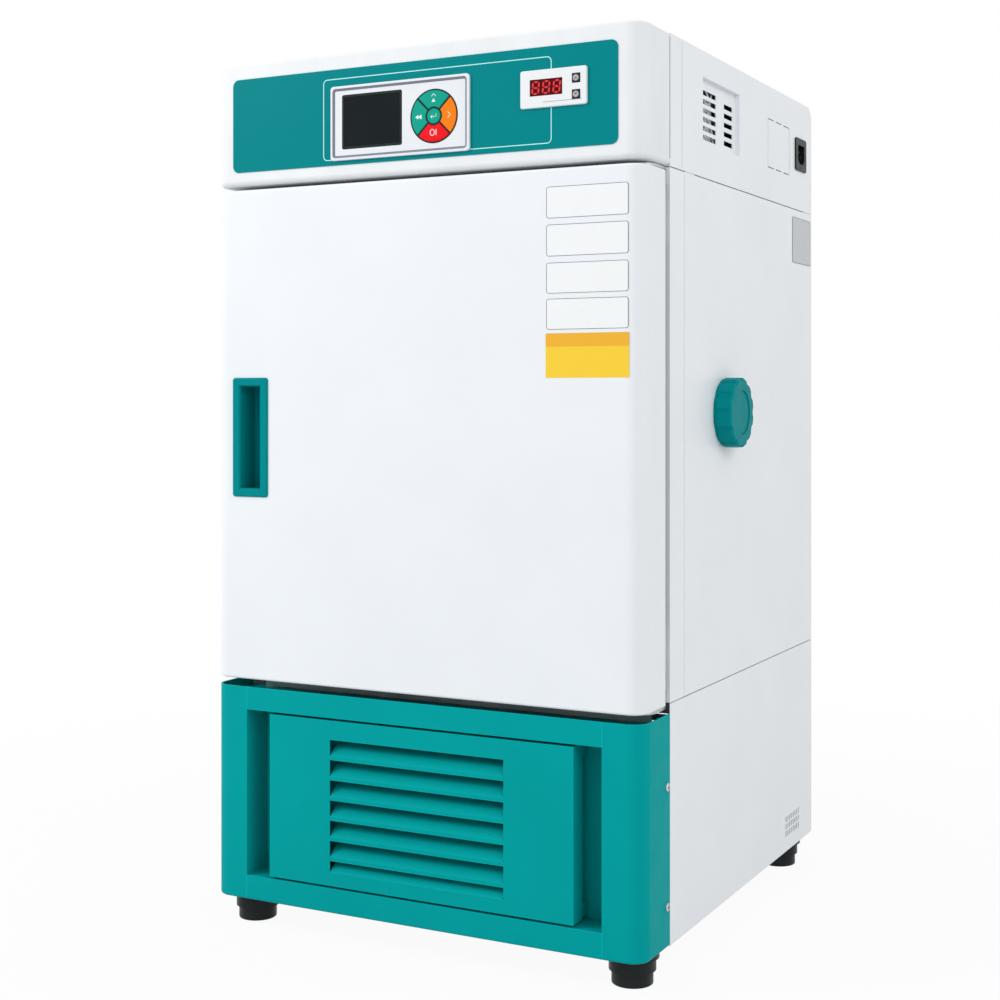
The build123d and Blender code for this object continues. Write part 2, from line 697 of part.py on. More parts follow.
def lower_vent_slots():
    """Rows of short upright slots near the rear corner."""
    slots = []
    column_pitch = LOWER_VENT_WIDTH / LOWER_VENT_COLUMNS
    row_pitch = LOWER_VENT_HEIGHT / LOWER_VENT_ROWS
    for column in range(LOWER_VENT_COLUMNS):
        y = FRONT + LOWER_VENT_FROM_FRONT + (column + 0.5) * column_pitch
        for row in range(LOWER_VENT_ROWS):
            z = BASE_BOTTOM + LOWER_VENT_BOTTOM + row * row_pitch
            slots.append(block(SIDE - MARGIN, SIDE + MARGIN, y - LOWER_VENT_SLOT / 2, y + LOWER_VENT_SLOT / 2,
                               z + LOWER_VENT_SLOT / 4, z + row_pitch - LOWER_VENT_SLOT / 4))
    return slots


def rear_panel():
    """Full-height back with two columns of vent slots behind the compressor."""
    half = SIDE - SHEET
    panel = block(-half, half, REAR_INSIDE, BACK, BASE_BOTTOM, TOP - COVER_REAR_LIP)
    slots = []
    for side in (-1, 1):
        for row in range(REAR_VENT_ROWS):
            z = BASE_BOTTOM + REAR_VENT_LIFT + row * REAR_VENT_PITCH
            x = side * REAR_VENT_SPACING
            slots.append(block(x - REAR_VENT_WIDTH / 2, x + REAR_VENT_WIDTH / 2, REAR_INSIDE - MARGIN,
                               BACK + MARGIN, z, z + REAR_VENT_SLOT))
    return cut(panel, slots)


def cabinet_floor_plate():
    """Deck between the machine compartment and the insulated body, set back at the seam."""
    half = SIDE - SEAM_RECESS
    plate = block(-half, half, BODY_FRONT, REAR_INSIDE, LOWER_TOP, BODY_BOTTOM)
    plate = plate - block(SIDE - SHEET - FIT_GAP, SIDE, REAR_INSIDE - MARGIN, BACK, 0, TOP)
    apron = block(-half + REAR_FLANGE, half - REAR_FLANGE, BODY_FRONT, BODY_FRONT + SHEET,
                  BASE_TOP - TROUGH_DEPTH, LOWER_TOP)
    return cut(plate + apron, refrigerant_passages(LOWER_TOP - MARGIN, BODY_BOTTOM + MARGIN))


def body_wrap():
    """Left side, top and right side of the insulated body, folded from one sheet."""
    front = STRIP_BACK + PANEL_GAP
    outer = block(-SIDE, SIDE, front, BACK, BODY_BOTTOM, BODY_TOP)
    inner = block(-SIDE + SHEET, SIDE - SHEET, front - MARGIN, BACK + MARGIN,
                  BODY_BOTTOM - MARGIN, BODY_TOP - SHEET)
    flanges = []
    for x0, x1 in ((-SIDE, -SIDE + REAR_FLANGE), (SIDE - REAR_FLANGE, SIDE)):
        flanges.append(block(x0, x1, REAR_INSIDE - SHEET, REAR_INSIDE, BODY_BOTTOM, BODY_TOP))
    slot = block(-SIDE + SHEET, SIDE - SHEET, REAR_INSIDE, BACK + MARGIN,
                 BODY_TOP - MARGIN, BODY_TOP + MARGIN)
    hole = rod((SIDE - MARGIN, PORT_Y, PORT_HEIGHT), (SIDE + MARGIN, PORT_Y, PORT_HEIGHT),
               PORT_BORE_RADIUS + PORT_WALL)
    return cut(fuse([outer - inner] + flanges), [slot, hole])


def front_frame():
    """Ring round the chamber mouth: front face, outer returns and the throat of the inner door."""
    outer = block(-SIDE, SIDE, BODY_FRONT, STRIP_BACK, BODY_BOTTOM, BODY_TOP)
    inner = block(-SIDE + SHEET, SIDE - SHEET, BODY_FRONT + SHEET, STRIP_BACK + MARGIN,
                  BODY_BOTTOM + SHEET, BODY_TOP - SHEET)
    sleeve = block(-THROAT_SIDE - SHEET, THROAT_SIDE + SHEET, BODY_FRONT, LEDGE + LINER,
                   THROAT_BOTTOM - SHEET, THROAT_TOP + SHEET)
    mouth = block(-THROAT_SIDE, THROAT_SIDE, BODY_FRONT - MARGIN, LEDGE + MARGIN, THROAT_BOTTOM, THROAT_TOP)
    return outer - inner + sleeve - mouth


def chamber_liner():
    """Welded stainless box, open at the front, with a flange that fills the throat."""
    inner = block(-CHAMBER_SIDE, CHAMBER_SIDE, LEDGE - MARGIN, CHAMBER_REAR, CHAMBER_BOTTOM, CHAMBER_TOP)
    outer = block(-CHAMBER_SIDE - LINER, CHAMBER_SIDE + LINER, LEDGE, CHAMBER_REAR + LINER,
                  CHAMBER_BOTTOM - LINER, CHAMBER_TOP + LINER)
    flange = block(-THROAT_SIDE, THROAT_SIDE, LEDGE, LEDGE + LINER, THROAT_BOTTOM, THROAT_TOP)
    hole = rod((CHAMBER_SIDE - MARGIN, PORT_Y, PORT_HEIGHT), (CHAMBER_SIDE + MARGIN, PORT_Y, PORT_HEIGHT),
               PORT_BORE_RADIUS + PORT_WALL)
    passages = refrigerant_passages(CHAMBER_BOTTOM - MARGIN, CHAMBER_BOTTOM + MARGIN)
    return cut(outer + flange - inner, [hole] + passages)


def insulation_foam():
    """Foam that fills the walls between the outer sheets and the liner."""
    half = SIDE - SHEET
    rear = REAR_INSIDE - SHEET
    front_part = block(-half, half, BODY_FRONT + SHEET, STRIP_BACK, BODY_BOTTOM + SHEET, BODY_TOP - SHEET)
    rear_part = block(-half, half, STRIP_BACK, rear, BODY_BOTTOM, BODY_TOP - SHEET)
    chamber = block(-CHAMBER_SIDE - LINER, CHAMBER_SIDE + LINER, BODY_FRONT - MARGIN, CHAMBER_REAR + LINER,
                    CHAMBER_BOTTOM - LINER, CHAMBER_TOP + LINER)
    throat = block(-THROAT_SIDE - SHEET, THROAT_SIDE + SHEET, BODY_FRONT - MARGIN, LEDGE + LINER,
                   THROAT_BOTTOM - SHEET, THROAT_TOP + SHEET)
    port = rod((CHAMBER_SIDE, PORT_Y, PORT_HEIGHT), (SIDE + MARGIN, PORT_Y, PORT_HEIGHT),
               PORT_BORE_RADIUS + PORT_WALL)
    passages = refrigerant_passages(BODY_BOTTOM - MARGIN, CHAMBER_BOTTOM)
    return cut(front_part + rear_part, [chamber, throat, port] + passages)


def shelf_low(height):
    """Underside of a shelf's frame wire."""
    return CHAMBER_BOTTOM + height


def shelf_rails():
    """Four slotted upright rails with the clips that the shelves rest on."""
    low = CHAMBER_BOTTOM + RAIL_MARGIN
    high = CHAMBER_TOP - RAIL_MARGIN
    rails = []
    for side in (-1, 1):
        for back_off in (RAIL_FRONT, RAIL_REAR):
            y = LEDGE + back_off
            inner_face = CHAMBER_SIDE - RAIL_DEPTH
            rail = block(inner_face, CHAMBER_SIDE, y - RAIL_WIDTH / 2, y + RAIL_WIDTH / 2, low, high)
            slots = []
            count = int((high - low - RAIL_SLOT_PITCH) // RAIL_SLOT_PITCH) + 1
            for index in range(count):
                z = low + RAIL_SLOT_PITCH / 2 + index * RAIL_SLOT_PITCH
                slots.append(block(inner_face - MARGIN, inner_face + RAIL_DEPTH / 2,
                                   y - RAIL_SLOT_WIDTH / 2, y + RAIL_SLOT_WIDTH / 2, z, z + RAIL_SLOT))
            rail = cut(rail, slots)
            for height in SHELF_HEIGHTS:
                top = shelf_low(height)
                rail = rail + block(inner_face - CLIP_REACH, inner_face + RAIL_DEPTH / 2,
                                    y - RAIL_SLOT_WIDTH / 2, y + RAIL_SLOT_WIDTH / 2,
                                    top - CLIP_THICKNESS, top)
            rails.append(rail if side > 0 else mirror(rail, about=Plane.YZ))
    return rails


def wire_shelf(height):
    """Wire shelf: frame wire with round corners, two cross bars and the rods that lie on them."""
    half = CHAMBER_SIDE - RAIL_DEPTH - SHELF_SIDE_GAP - SHELF_FRAME_RADIUS
    front = LEDGE + SHELF_FRONT + SHELF_FRAME_RADIUS
    back = front + SHELF_DEPTH - 2 * SHELF_FRAME_RADIUS
    z = shelf_low(height) + SHELF_FRAME_RADIUS
    middle = (front + back) / 2
    outline = Pos(0, middle, z) * RectangleRounded(2 * half, back - front, SHELF_CORNER)
    path = outline.face().outer_wire()
    section = Plane(origin=path @ 0, z_dir=path % 0) * Circle(SHELF_FRAME_RADIUS)
    pieces = [sweep(section, path=path)]
    for y in (front + (back - front) / 3, front + 2 * (back - front) / 3):
        pieces.append(rod((-half, y, z), (half, y, z), SHELF_FRAME_RADIUS * 0.8))
    count = int((2 * half - SHELF_WIRE_PITCH) // SHELF_WIRE_PITCH)
    wire_z = z + SHELF_FRAME_RADIUS
    for index in range(count + 1):
        x = (index - count / 2) * SHELF_WIRE_PITCH
        wire_front = (x, front - SHELF_FRAME_RADIUS / 2, wire_z)
        wire_back = (x, back + SHELF_FRAME_RADIUS / 2, wire_z)
        pieces.append(rod(wire_front, wire_back, SHELF_WIRE_RADIUS))
    return fuse(pieces)


def air_duct_panel():
    """Stainless cover over the evaporator and fan, with round intake slots and outlet slots."""
    half = CHAMBER_SIDE - DUCT_SIDE_GAP
    low = CHAMBER_BOTTOM + DUCT_GAP
    high = CHAMBER_TOP - DUCT_GAP
    cover = block(-half, half, DUCT_FRONT, CHAMBER_REAR, low, high)
    inside = block(-half + DUCT_SHEET, half - DUCT_SHEET, DUCT_FRONT + DUCT_SHEET, CHAMBER_REAR + MARGIN,
                   low - MARGIN, high + MARGIN)
    slots = []
    for index in range(INTAKE_SLOTS):
        offset = (index - (INTAKE_SLOTS - 1) / 2) * INTAKE_SLOT_PITCH
        reach = math.sqrt(max(INTAKE_RADIUS ** 2 - offset ** 2, INTAKE_SLOT ** 2))
        z = FAN_HEIGHT + offset
        slots.append(block(-reach, reach, DUCT_FRONT - MARGIN, DUCT_FRONT + MARGIN,
                           z - INTAKE_SLOT / 2, z + INTAKE_SLOT / 2))
    for side in (-1, 1):
        for index in range(OUTLET_SLOTS):
            z = low + OUTLET_HEIGHT + index * OUTLET_PITCH
            x = side * (OUTLET_WIDTH / 2 + MARGIN)
            slots.append(block(x - OUTLET_WIDTH / 2, x + OUTLET_WIDTH / 2, DUCT_FRONT - MARGIN,
                               DUCT_FRONT + MARGIN, z, z + OUTLET_SLOT))
    hole = rod((PROBE_X, DUCT_FRONT - MARGIN, CHAMBER_BOTTOM + PROBE_HEIGHT),
               (PROBE_X, DUCT_FRONT + MARGIN, CHAMBER_BOTTOM + PROBE_HEIGHT), PROBE_RADIUS)
    return cut(cover - inside, slots + [hole])


def axial_fan(radius, hub_radius, hub_length, bore, blades):
    """Fan with flat pitched blades round a bored hub; its front is at y = 0 and its axis is Y."""
    hub = rod((0, 0, 0), (0, hub_length, 0), hub_radius)
    hub = fillet(hub.edges().filter_by(GeomType.CIRCLE).sort_by(Axis.Y)[0], hub_length * 0.25)
    chord = hub_length / math.sin(math.radians(FAN_PITCH))
    root = hub_radius * 0.8
    blade = block(-chord * 0.75, chord * 0.75, -BLADE_SHEET / 2, BLADE_SHEET / 2, root, radius + MARGIN)
    blade = blade.rotate(Axis.Z, FAN_PITCH)
    blade = blade.moved(Location((0, hub_length / 2, 0)))
    limit = rod((0, 0, 0), (0, hub_length, 0), radius)
    pieces = [hub]
    for index in range(blades):
        turned = blade.rotate(Axis.Y, index * 360.0 / blades)
        pieces.append(turned & limit)
    drilled = fuse(pieces) - rod((0, hub_length - bore[1], 0), (0, hub_length + MARGIN, 0), bore[0])
    return drilled


def circulation_fan_blade():
    """Fan that draws chamber air in through the duct panel."""
    front = DUCT_FRONT + DUCT_SHEET + CIRC_FROM_DUCT
    bore = (CIRC_SHAFT_RADIUS + BEARING_GAP, CIRC_HUB_LENGTH * 0.7)
    fan = axial_fan(CIRC_BLADE_RADIUS, CIRC_HUB_RADIUS, CIRC_HUB_LENGTH, bore, FAN_BLADES)
    return fan.moved(Location((0, front, FAN_HEIGHT)))


def circulation_fan_motor():
    """Motor on the chamber's rear wall, with its shaft in the fan hub."""
    hub_back = DUCT_FRONT + DUCT_SHEET + CIRC_FROM_DUCT + CIRC_HUB_LENGTH
    body = rod((0, hub_back + MOTOR_GAP, FAN_HEIGHT), (0, CHAMBER_REAR, FAN_HEIGHT), CIRC_MOTOR_RADIUS)
    body = fillet(body.edges().filter_by(GeomType.CIRCLE).sort_by(Axis.Y)[0], FOOT_ROUND)
    shaft_front = hub_back - CIRC_HUB_LENGTH * 0.6
    shaft_back = hub_back + MOTOR_GAP + MARGIN
    shaft = rod((0, shaft_front, FAN_HEIGHT), (0, shaft_back, FAN_HEIGHT), CIRC_SHAFT_RADIUS)
    return body + shaft


def coil_half(width):
    """Distance from a coil's middle to the outside of its end plates."""
    return width / 2 - COIL_BEND_REACH - COIL_TUBE_RADIUS


def finned_coil(width, depth, height, slots, rows):
    """Finned block between end plates with return bends; centred in X, front at y = 0, base at z = 0."""
    half = coil_half(width)
    core_half = half - COIL_END_PLATE
    fins = block(-core_half, core_half, 0, depth, COIL_TUBE_RADIUS, height - COIL_TUBE_RADIUS)
    fin_pitch = 2 * core_half / slots
    grooves = []
    for index in range(slots):
        x = -core_half + (index + 0.5) * fin_pitch
        cut_half = fin_pitch * 0.35
        for y0, y1 in ((-MARGIN, (depth - COIL_CORE) / 2), ((depth + COIL_CORE) / 2, depth + MARGIN)):
            grooves.append(block(x - cut_half, x + cut_half, y0, y1, -MARGIN, height + MARGIN))
    coil = cut(fins, grooves)
    row_pitch = height / (rows + 1)
    bend = min(COIL_BEND_REACH, row_pitch / 2) * 0.8
    for side in (-1, 1):
        inner = side * core_half
        outer = side * half
        coil = coil + block(min(inner, outer), max(inner, outer), 0, depth, 0, height)
        reach = outer + side * COIL_BEND_REACH
        for row in range(1 if side > 0 else 2, rows, 2):
            z = row * row_pitch
            turn = [(inner, depth / 2, z), (reach, depth / 2, z)]
            turn += [(reach, depth / 2, z + row_pitch), (inner, depth / 2, z + row_pitch)]
            coil = coil + pipe(turn, COIL_TUBE_RADIUS, bend)
    return coil


def evaporator_coil():
    """Cooling coil behind the duct panel, against the chamber's rear wall."""
    coil = finned_coil(EVAPORATOR_WIDTH, EVAPORATOR_DEPTH, EVAPORATOR_HEIGHT,
                       EVAPORATOR_SLOTS, EVAPORATOR_ROWS)
    return coil.moved(Location((0, CHAMBER_REAR - EVAPORATOR_DEPTH, CHAMBER_BOTTOM + EVAPORATOR_LIFT)))


def heater_element():
    """Looped tube heater above the coil, standing on two legs that enter the rear wall's face."""
    half = HEATER_WIDTH / 2
    low = CHAMBER_BOTTOM + EVAPORATOR_LIFT + EVAPORATOR_HEIGHT + HEATER_LIFT
    high = low + HEATER_RISE
    y = CHAMBER_REAR - HEATER_FROM_REAR
    points = [(-half, CHAMBER_REAR, low), (-half, y, low), (half, y, low), (half, y, high),
              (-half + HEATER_RISE, y, high), (-half + HEATER_RISE, CHAMBER_REAR, high)]
    return pipe(points, HEATER_RADIUS, HEATER_BEND)


def temperature_probe():
    """Probe that reaches into the chamber through the duct panel, with its nut."""
    z = CHAMBER_BOTTOM + PROBE_HEIGHT
    stem = rod((PROBE_X, DUCT_FRONT - PROBE_LENGTH, z), (PROBE_X, DUCT_FRONT + MARGIN, z), PROBE_RADIUS)
    tip = stem.edges().filter_by(GeomType.CIRCLE).sort_by(Axis.Y)[0]
    stem = fillet(tip, PROBE_RADIUS * 0.8)
    nut = rod((PROBE_X, DUCT_FRONT - PROBE_NUT_LENGTH, z), (PROBE_X, DUCT_FRONT, z), PROBE_NUT_RADIUS)
    return stem + nut


def port_sleeve():
    """Tube through the right wall with an outer flange and a stub for the cap."""
    y, z = PORT_Y, PORT_HEIGHT
    end = SIDE + PORT_FLANGE + PORT_STUB
    tube = rod((CHAMBER_SIDE, y, z), (end, y, z), PORT_BORE_RADIUS + PORT_WALL)
    flange = rod((SIDE, y, z), (SIDE + PORT_FLANGE, y, z), PORT_FLANGE_RADIUS)
    bore = rod((CHAMBER_SIDE - MARGIN, y, z), (end + MARGIN, y, z), PORT_BORE_RADIUS)
    return tube + flange - bore


def port_cap():
    """Scalloped cap, hollow behind, that closes the sleeve's stub."""
    notch_centre = CAP_RADIUS + CAP_NOTCH_RADIUS - CAP_NOTCH_DEPTH
    disc = Circle(CAP_RADIUS)
    notches = PolarLocations(notch_centre, CAP_LOBES) * Circle(CAP_NOTCH_RADIUS)
    cap = extrude(disc - notches, amount=CAP_LENGTH)
    cap = chamfer(cap.faces().sort_by(Axis.Z)[-1].edges(), CAP_EDGE)
    dish = rod((0, 0, CAP_LENGTH - CAP_DISH_DEPTH), (0, 0, CAP_LENGTH + MARGIN), CAP_DISH_RADIUS)
    socket = rod((0, 0, -MARGIN), (0, 0, CAP_LENGTH - CAP_FACE), PORT_BORE_RADIUS + PORT_WALL + FIT_GAP)
    seat = Plane(origin=(SIDE + PORT_FLANGE + FIT_GAP, PORT_Y, PORT_HEIGHT), x_dir=(0, 1, 0), z_dir=(1, 0, 0))
    return seat * (cap - dish - socket)


def door_hinge_boss(z0, z1):
    """Bored boss in the door for a hinge pin."""
    return rod((HINGE_X, HINGE_Y, z0), (HINGE_X, HINGE_Y, z1), HINGE_BOSS_RADIUS)


def door_hinge_bores():
    """Holes for both hinge pins, a little deeper than the pins reach."""
    reach = HINGE_PIN_ENGAGEMENT + PANEL_GAP
    radius = HINGE_PIN_RADIUS + BEARING_GAP
    low = rod((HINGE_X, HINGE_Y, DOOR_BOTTOM - MARGIN), (HINGE_X, HINGE_Y, DOOR_BOTTOM + reach), radius)
    high = rod((HINGE_X, HINGE_Y, DOOR_TOP - reach), (HINGE_X, HINGE_Y, DOOR_TOP + MARGIN), radius)
    return [low, high]


def handle_centre():
    """Centre of the handle cup on the door's front face."""
    x = -SIDE + HANDLE_LEFT + HANDLE_WIDTH / 2
    z = DOOR_BOTTOM + HANDLE_BOTTOM + HANDLE_HEIGHT / 2
    return x, z


def handle_body(gap):
    """Outside of the handle cup behind the door's front, with a gap all round."""
    x, z = handle_centre()
    half_x = HANDLE_WIDTH / 2 - HANDLE_RIM + HANDLE_WALL + gap
    half_z = HANDLE_POCKET_HEIGHT / 2 + HANDLE_WALL + gap
    return block(x - half_x, x + half_x, FRONT - HANDLE_PROUD / 2, FRONT + HANDLE_DEPTH + HANDLE_WALL + gap,
                 z - half_z, z + half_z)


def door_shell():
    """Outer pan of the door with its hinge bosses and the cut-out for the handle."""
    pan = shell_moulding(DOOR_BACK, DOOR_BOTTOM, DOOR_TOP, SHEET)
    bosses = [door_hinge_boss(DOOR_BOTTOM + SHEET / 2, DOOR_BOTTOM + HINGE_BOSS_DEPTH),
              door_hinge_boss(DOOR_TOP - HINGE_BOSS_DEPTH, DOOR_TOP - SHEET / 2)]
    return cut(fuse([pan] + bosses), door_hinge_bores() + [handle_body(0)])


def door_bulge(inset, depth):
    """Raised middle of the door's inner face."""
    half = SIDE - DOOR_BULGE_INSET - inset
    low = DOOR_BOTTOM + DOOR_BULGE_INSET + inset
    high = DOOR_TOP - DOOR_BULGE_INSET - inset
    body = block(-half, half, DOOR_BACK - SHEET - MARGIN, DOOR_BACK + depth, low, high)
    return fillet(body.edges().filter_by(Axis.Y), DOOR_BULGE_CORNER - inset)


def door_liner():
    """Formed inner sheet of the door, raised in the middle."""
    half = SIDE - SHEET
    low = DOOR_BOTTOM + SHEET
    high = DOOR_TOP - SHEET
    plate = block(-half, half, DOOR_BACK - SHEET, DOOR_BACK, low, high)
    above = block(-half, half, DOOR_BACK - SHEET, DOOR_BACK + DOOR_BULGE + MARGIN, low, high)
    raised = door_bulge(0, DOOR_BULGE) & above
    return plate + raised - door_bulge(SHEET, DOOR_BULGE - SHEET)


def door_foam():
    """Foam between the door's pan and its inner sheet."""
    fill = moulding(SIDE - SHEET, FRONT + SHEET, DOOR_BACK - SHEET, DOOR_BOTTOM + SHEET, DOOR_TOP - SHEET,
                    CORNER_RADIUS - SHEET)
    raised = door_bulge(SHEET, DOOR_BULGE - SHEET)
    bosses = [door_hinge_boss(DOOR_BOTTOM, DOOR_BOTTOM + HINGE_BOSS_DEPTH),
              door_hinge_boss(DOOR_TOP - HINGE_BOSS_DEPTH, DOOR_TOP)]
    return cut(fill + raised, bosses + [handle_body(0)])


def door_gasket():
    """Magnetic gasket: base strip, bellows and flat magnet bulb in one ring."""
    outer_x = SIDE - GASKET_INSET
    low = DOOR_BOTTOM + GASKET_INSET
    high = DOOR_TOP - GASKET_INSET
    back = BODY_FRONT - FIT_GAP
    ring = block(-outer_x, outer_x, DOOR_BACK, back, low, high)
    hole = block(-outer_x + GASKET_WIDTH, outer_x - GASKET_WIDTH, DOOR_BACK - MARGIN, back + MARGIN,
                 low + GASKET_WIDTH, high - GASKET_WIDTH)
    waist_front = DOOR_BACK + DOOR_STAND_OFF * 0.3
    waist_back = DOOR_BACK + DOOR_STAND_OFF * 0.5
    waist = GASKET_WIDTH * 0.2
    outer_waist = block(-outer_x - MARGIN, outer_x + MARGIN, waist_front, waist_back,
                        low - MARGIN, high + MARGIN)
    kept = block(-outer_x + waist, outer_x - waist, waist_front - MARGIN, waist_back + MARGIN,
                 low + waist, high - waist)
    return ring - hole - (outer_waist - kept)


def door_handle():
    """Handle cup: bevelled rim in front of the door, and the pocket behind it."""
    x, z = handle_centre()
    rim = corner_plate(HANDLE_WIDTH, HANDLE_PROUD, HANDLE_HEIGHT, HANDLE_CORNER)
    rim = rim.moved(Location((x, FRONT - HANDLE_PROUD, z)))
    rim = chamfer(rim.faces().sort_by(Axis.Y)[0].edges(), HANDLE_BEVEL)
    half_x = HANDLE_WIDTH / 2 - HANDLE_RIM
    half_z = HANDLE_POCKET_HEIGHT / 2
    pocket = block(x - half_x, x + half_x, FRONT - HANDLE_PROUD - MARGIN, FRONT + HANDLE_DEPTH,
                   z - half_z, z + half_z)
    cup = rim + handle_body(0) - pocket
    mouth = cup.faces().sort_by(Axis.Y)[0].inner_wires()[0].edges()
    return chamfer(mouth, HANDLE_BEVEL)


def hinge_brackets():
    """Upper and lower door hinge leaves with their pins, and the two small glass-door brackets."""
    brackets = []
    low_leaf = DOOR_BOTTOM - HINGE_LEAF_GAP - HINGE_LEAF
    high_leaf = DOOR_TOP + HINGE_LEAF_GAP
    left = HINGE_X - HINGE_LEAF_RADIUS
    right = HINGE_X + HINGE_LEAF_RADIUS
    for base, upward in ((low_leaf, True), (high_leaf, False)):
        arm = block(left, right, HINGE_Y, BODY_FRONT, base, base + HINGE_LEAF)
        nose = rod((HINGE_X, HINGE_Y, base), (HINGE_X, HINGE_Y, base + HINGE_LEAF), HINGE_LEAF_RADIUS)
        if upward:
            leaf_low, leaf_high = base, base + HINGE_LEAF_HEIGHT
            pin_low, pin_high = base, DOOR_BOTTOM + HINGE_PIN_ENGAGEMENT
        else:
            leaf_low, leaf_high = base + HINGE_LEAF - HINGE_LEAF_HEIGHT, base + HINGE_LEAF
            pin_low, pin_high = DOOR_TOP - HINGE_PIN_ENGAGEMENT, base + HINGE_LEAF
        leaf = block(left, right, BODY_FRONT - HINGE_LEAF, BODY_FRONT, leaf_low, leaf_high)
        pin = rod((HINGE_X, HINGE_Y, pin_low), (HINGE_X, HINGE_Y, pin_high), HINGE_PIN_RADIUS)
        brackets.append(fuse([arm, nose, leaf, pin]))
    half = INNER_BRACKET_WIDTH / 2
    for low in (THROAT_BOTTOM, THROAT_TOP - INNER_BRACKET):
        plate = block(INNER_PIVOT_X - half, THROAT_SIDE, BODY_FRONT, INNER_PIVOT_Y + half,
                      low, low + INNER_BRACKET)
        under = (INNER_PIVOT_X, INNER_PIVOT_Y, low - MARGIN)
        over = (INNER_PIVOT_X, INNER_PIVOT_Y, low + INNER_BRACKET + MARGIN)
        hole = rod(under, over, INNER_PIN_RADIUS + BEARING_GAP)
        brackets.append(plate - hole)
    return brackets


def inner_door_glass():
    """Toughened glass pane in the throat of the front frame."""
    pane = block(-GLASS_SIDE, GLASS_SIDE, GLASS_FRONT, GLASS_BACK, GLASS_BOTTOM, GLASS_TOP)
    return fillet(pane.edges().filter_by(Axis.Y), GLASS_EDGE_GAP)


def inner_door_fittings():
    """Hinge shoes with knuckles and pivot pins at the right corners, and the knob at the left."""
    fittings = []
    for base, end, sign in ((GLASS_BOTTOM, THROAT_BOTTOM, -1), (GLASS_TOP, THROAT_TOP, 1)):
        inner = base - sign * SHOE_HEIGHT
        low, high = min(base, inner), max(base, inner)
        shoe = block(GLASS_SIDE - SHOE_WIDTH, GLASS_SIDE - INNER_PIVOT_INSET,
                     GLASS_FRONT - SHOE_SHEET, GLASS_FRONT, low, high)
        knuckle = rod((INNER_PIVOT_X, INNER_PIVOT_Y, low), (INNER_PIVOT_X, INNER_PIVOT_Y, high),
                      INNER_KNUCKLE_RADIUS)
        pin_end = end - sign * FIT_GAP
        pin = rod((INNER_PIVOT_X, INNER_PIVOT_Y, base - sign * SHOE_HEIGHT / 2),
                  (INNER_PIVOT_X, INNER_PIVOT_Y, pin_end), INNER_PIN_RADIUS)
        fittings.append(fuse([shoe, knuckle, pin]))
    x = -GLASS_SIDE + KNOB_INSET
    z = (GLASS_BOTTOM + GLASS_TOP) / 2
    knob = rod((x, GLASS_FRONT - KNOB_LENGTH, z), (x, GLASS_FRONT, z), KNOB_RADIUS)
    crown = knob.edges().filter_by(GeomType.CIRCLE).sort_by(Axis.Y)[0]
    fittings.append(fillet(crown, KNOB_LENGTH * 0.3))
    return fittings


def module_body(x0, width, z0, height, margin, depth, gap):
    """Back of a module behind the console's front, with a gap all round."""
    return block(x0 + margin - gap, x0 + width - margin + gap, PANEL_FRONT - PANEL_PROUD, FRONT + depth + gap,
                 z0 + margin - gap, z0 + height - margin + gap)


def control_body(gap):
    """Back of the control module."""
    return module_body(-SIDE + BEZEL_LEFT, BEZEL_WIDTH, CONSOLE_BOTTOM + BEZEL_BOTTOM, BEZEL_HEIGHT,
                       BEZEL_BODY_MARGIN, BEZEL_BODY_DEPTH, gap)


def thermostat_body(gap):
    """Back of the thermostat module."""
    return module_body(THERMO_X, THERMO_WIDTH, THERMO_TOP - THERMO_HEIGHT, THERMO_HEIGHT,
                       THERMO_BODY_MARGIN, THERMO_BODY_DEPTH, gap)


def console_fascia():
    """Hollow front moulding of the console, with a rounded lip over the door."""
    pan = shell_moulding(BODY_FRONT, CONSOLE_BOTTOM, TOP, FASCIA_SHEET, FASCIA_LIP_ROUND)
    return cut(pan, [control_body(FIT_GAP), thermostat_body(FIT_GAP)])


def console_panel():
    """Coloured front plate of the console."""
    width = WIDTH - 2 * PANEL_SIDE_MARGIN
    plate = corner_plate(width, PANEL_PROUD, PANEL_HEIGHT, PANEL_CORNER)
    centre = CONSOLE_BOTTOM + PANEL_BOTTOM_MARGIN + PANEL_HEIGHT / 2
    plate = plate.moved(Location((0, PANEL_FRONT, centre)))
    return cut(plate, [control_body(FIT_GAP), thermostat_body(FIT_GAP)])


def control_bezel():
    """Control module: raised frame, recessed plate, display pocket and keypad well."""
    x = -SIDE + BEZEL_LEFT + BEZEL_WIDTH / 2
    z = CONSOLE_BOTTOM + BEZEL_BOTTOM + BEZEL_HEIGHT / 2
    front = corner_plate(BEZEL_WIDTH, BEZEL_PROUD, BEZEL_HEIGHT, BEZEL_CORNER)
    front = front.moved(Location((x, BEZEL_FRONT, z)))
    front = fillet(front.faces().sort_by(Axis.Y)[0].edges(), BEZEL_EDGE)
    mouth = RectangleRounded(BEZEL_WIDTH - 2 * BEZEL_FRAME, BEZEL_HEIGHT - 2 * BEZEL_FRAME, BEZEL_CORNER)
    recess = extrude(Plane.XZ * mouth, amount=-BEZEL_RECESS, taper=BEZEL_TAPER)
    recess = recess.moved(Location((x, BEZEL_FRONT, z)))
    pocket = display_plate(BEZEL_PLATE, DISPLAY_THICKNESS + DISPLAY_SET)
    body = front + control_body(0)
    return cut(body, [recess, pocket, keypad_well(0)] + [key_stem(angle, FIT_GAP) for angle in KEY_ANGLES])


def display_plate(y, depth):
    """Plate of the display's outline, from a front plane and a depth."""
    x = -SIDE + BEZEL_LEFT + DISPLAY_LEFT + DISPLAY_WIDTH / 2
    z = CONSOLE_BOTTOM + BEZEL_BOTTOM + DISPLAY_BOTTOM + DISPLAY_HEIGHT / 2
    plate = corner_plate(DISPLAY_WIDTH, depth, DISPLAY_HEIGHT, DISPLAY_CORNER)
    return plate.moved(Location((x, y, z)))


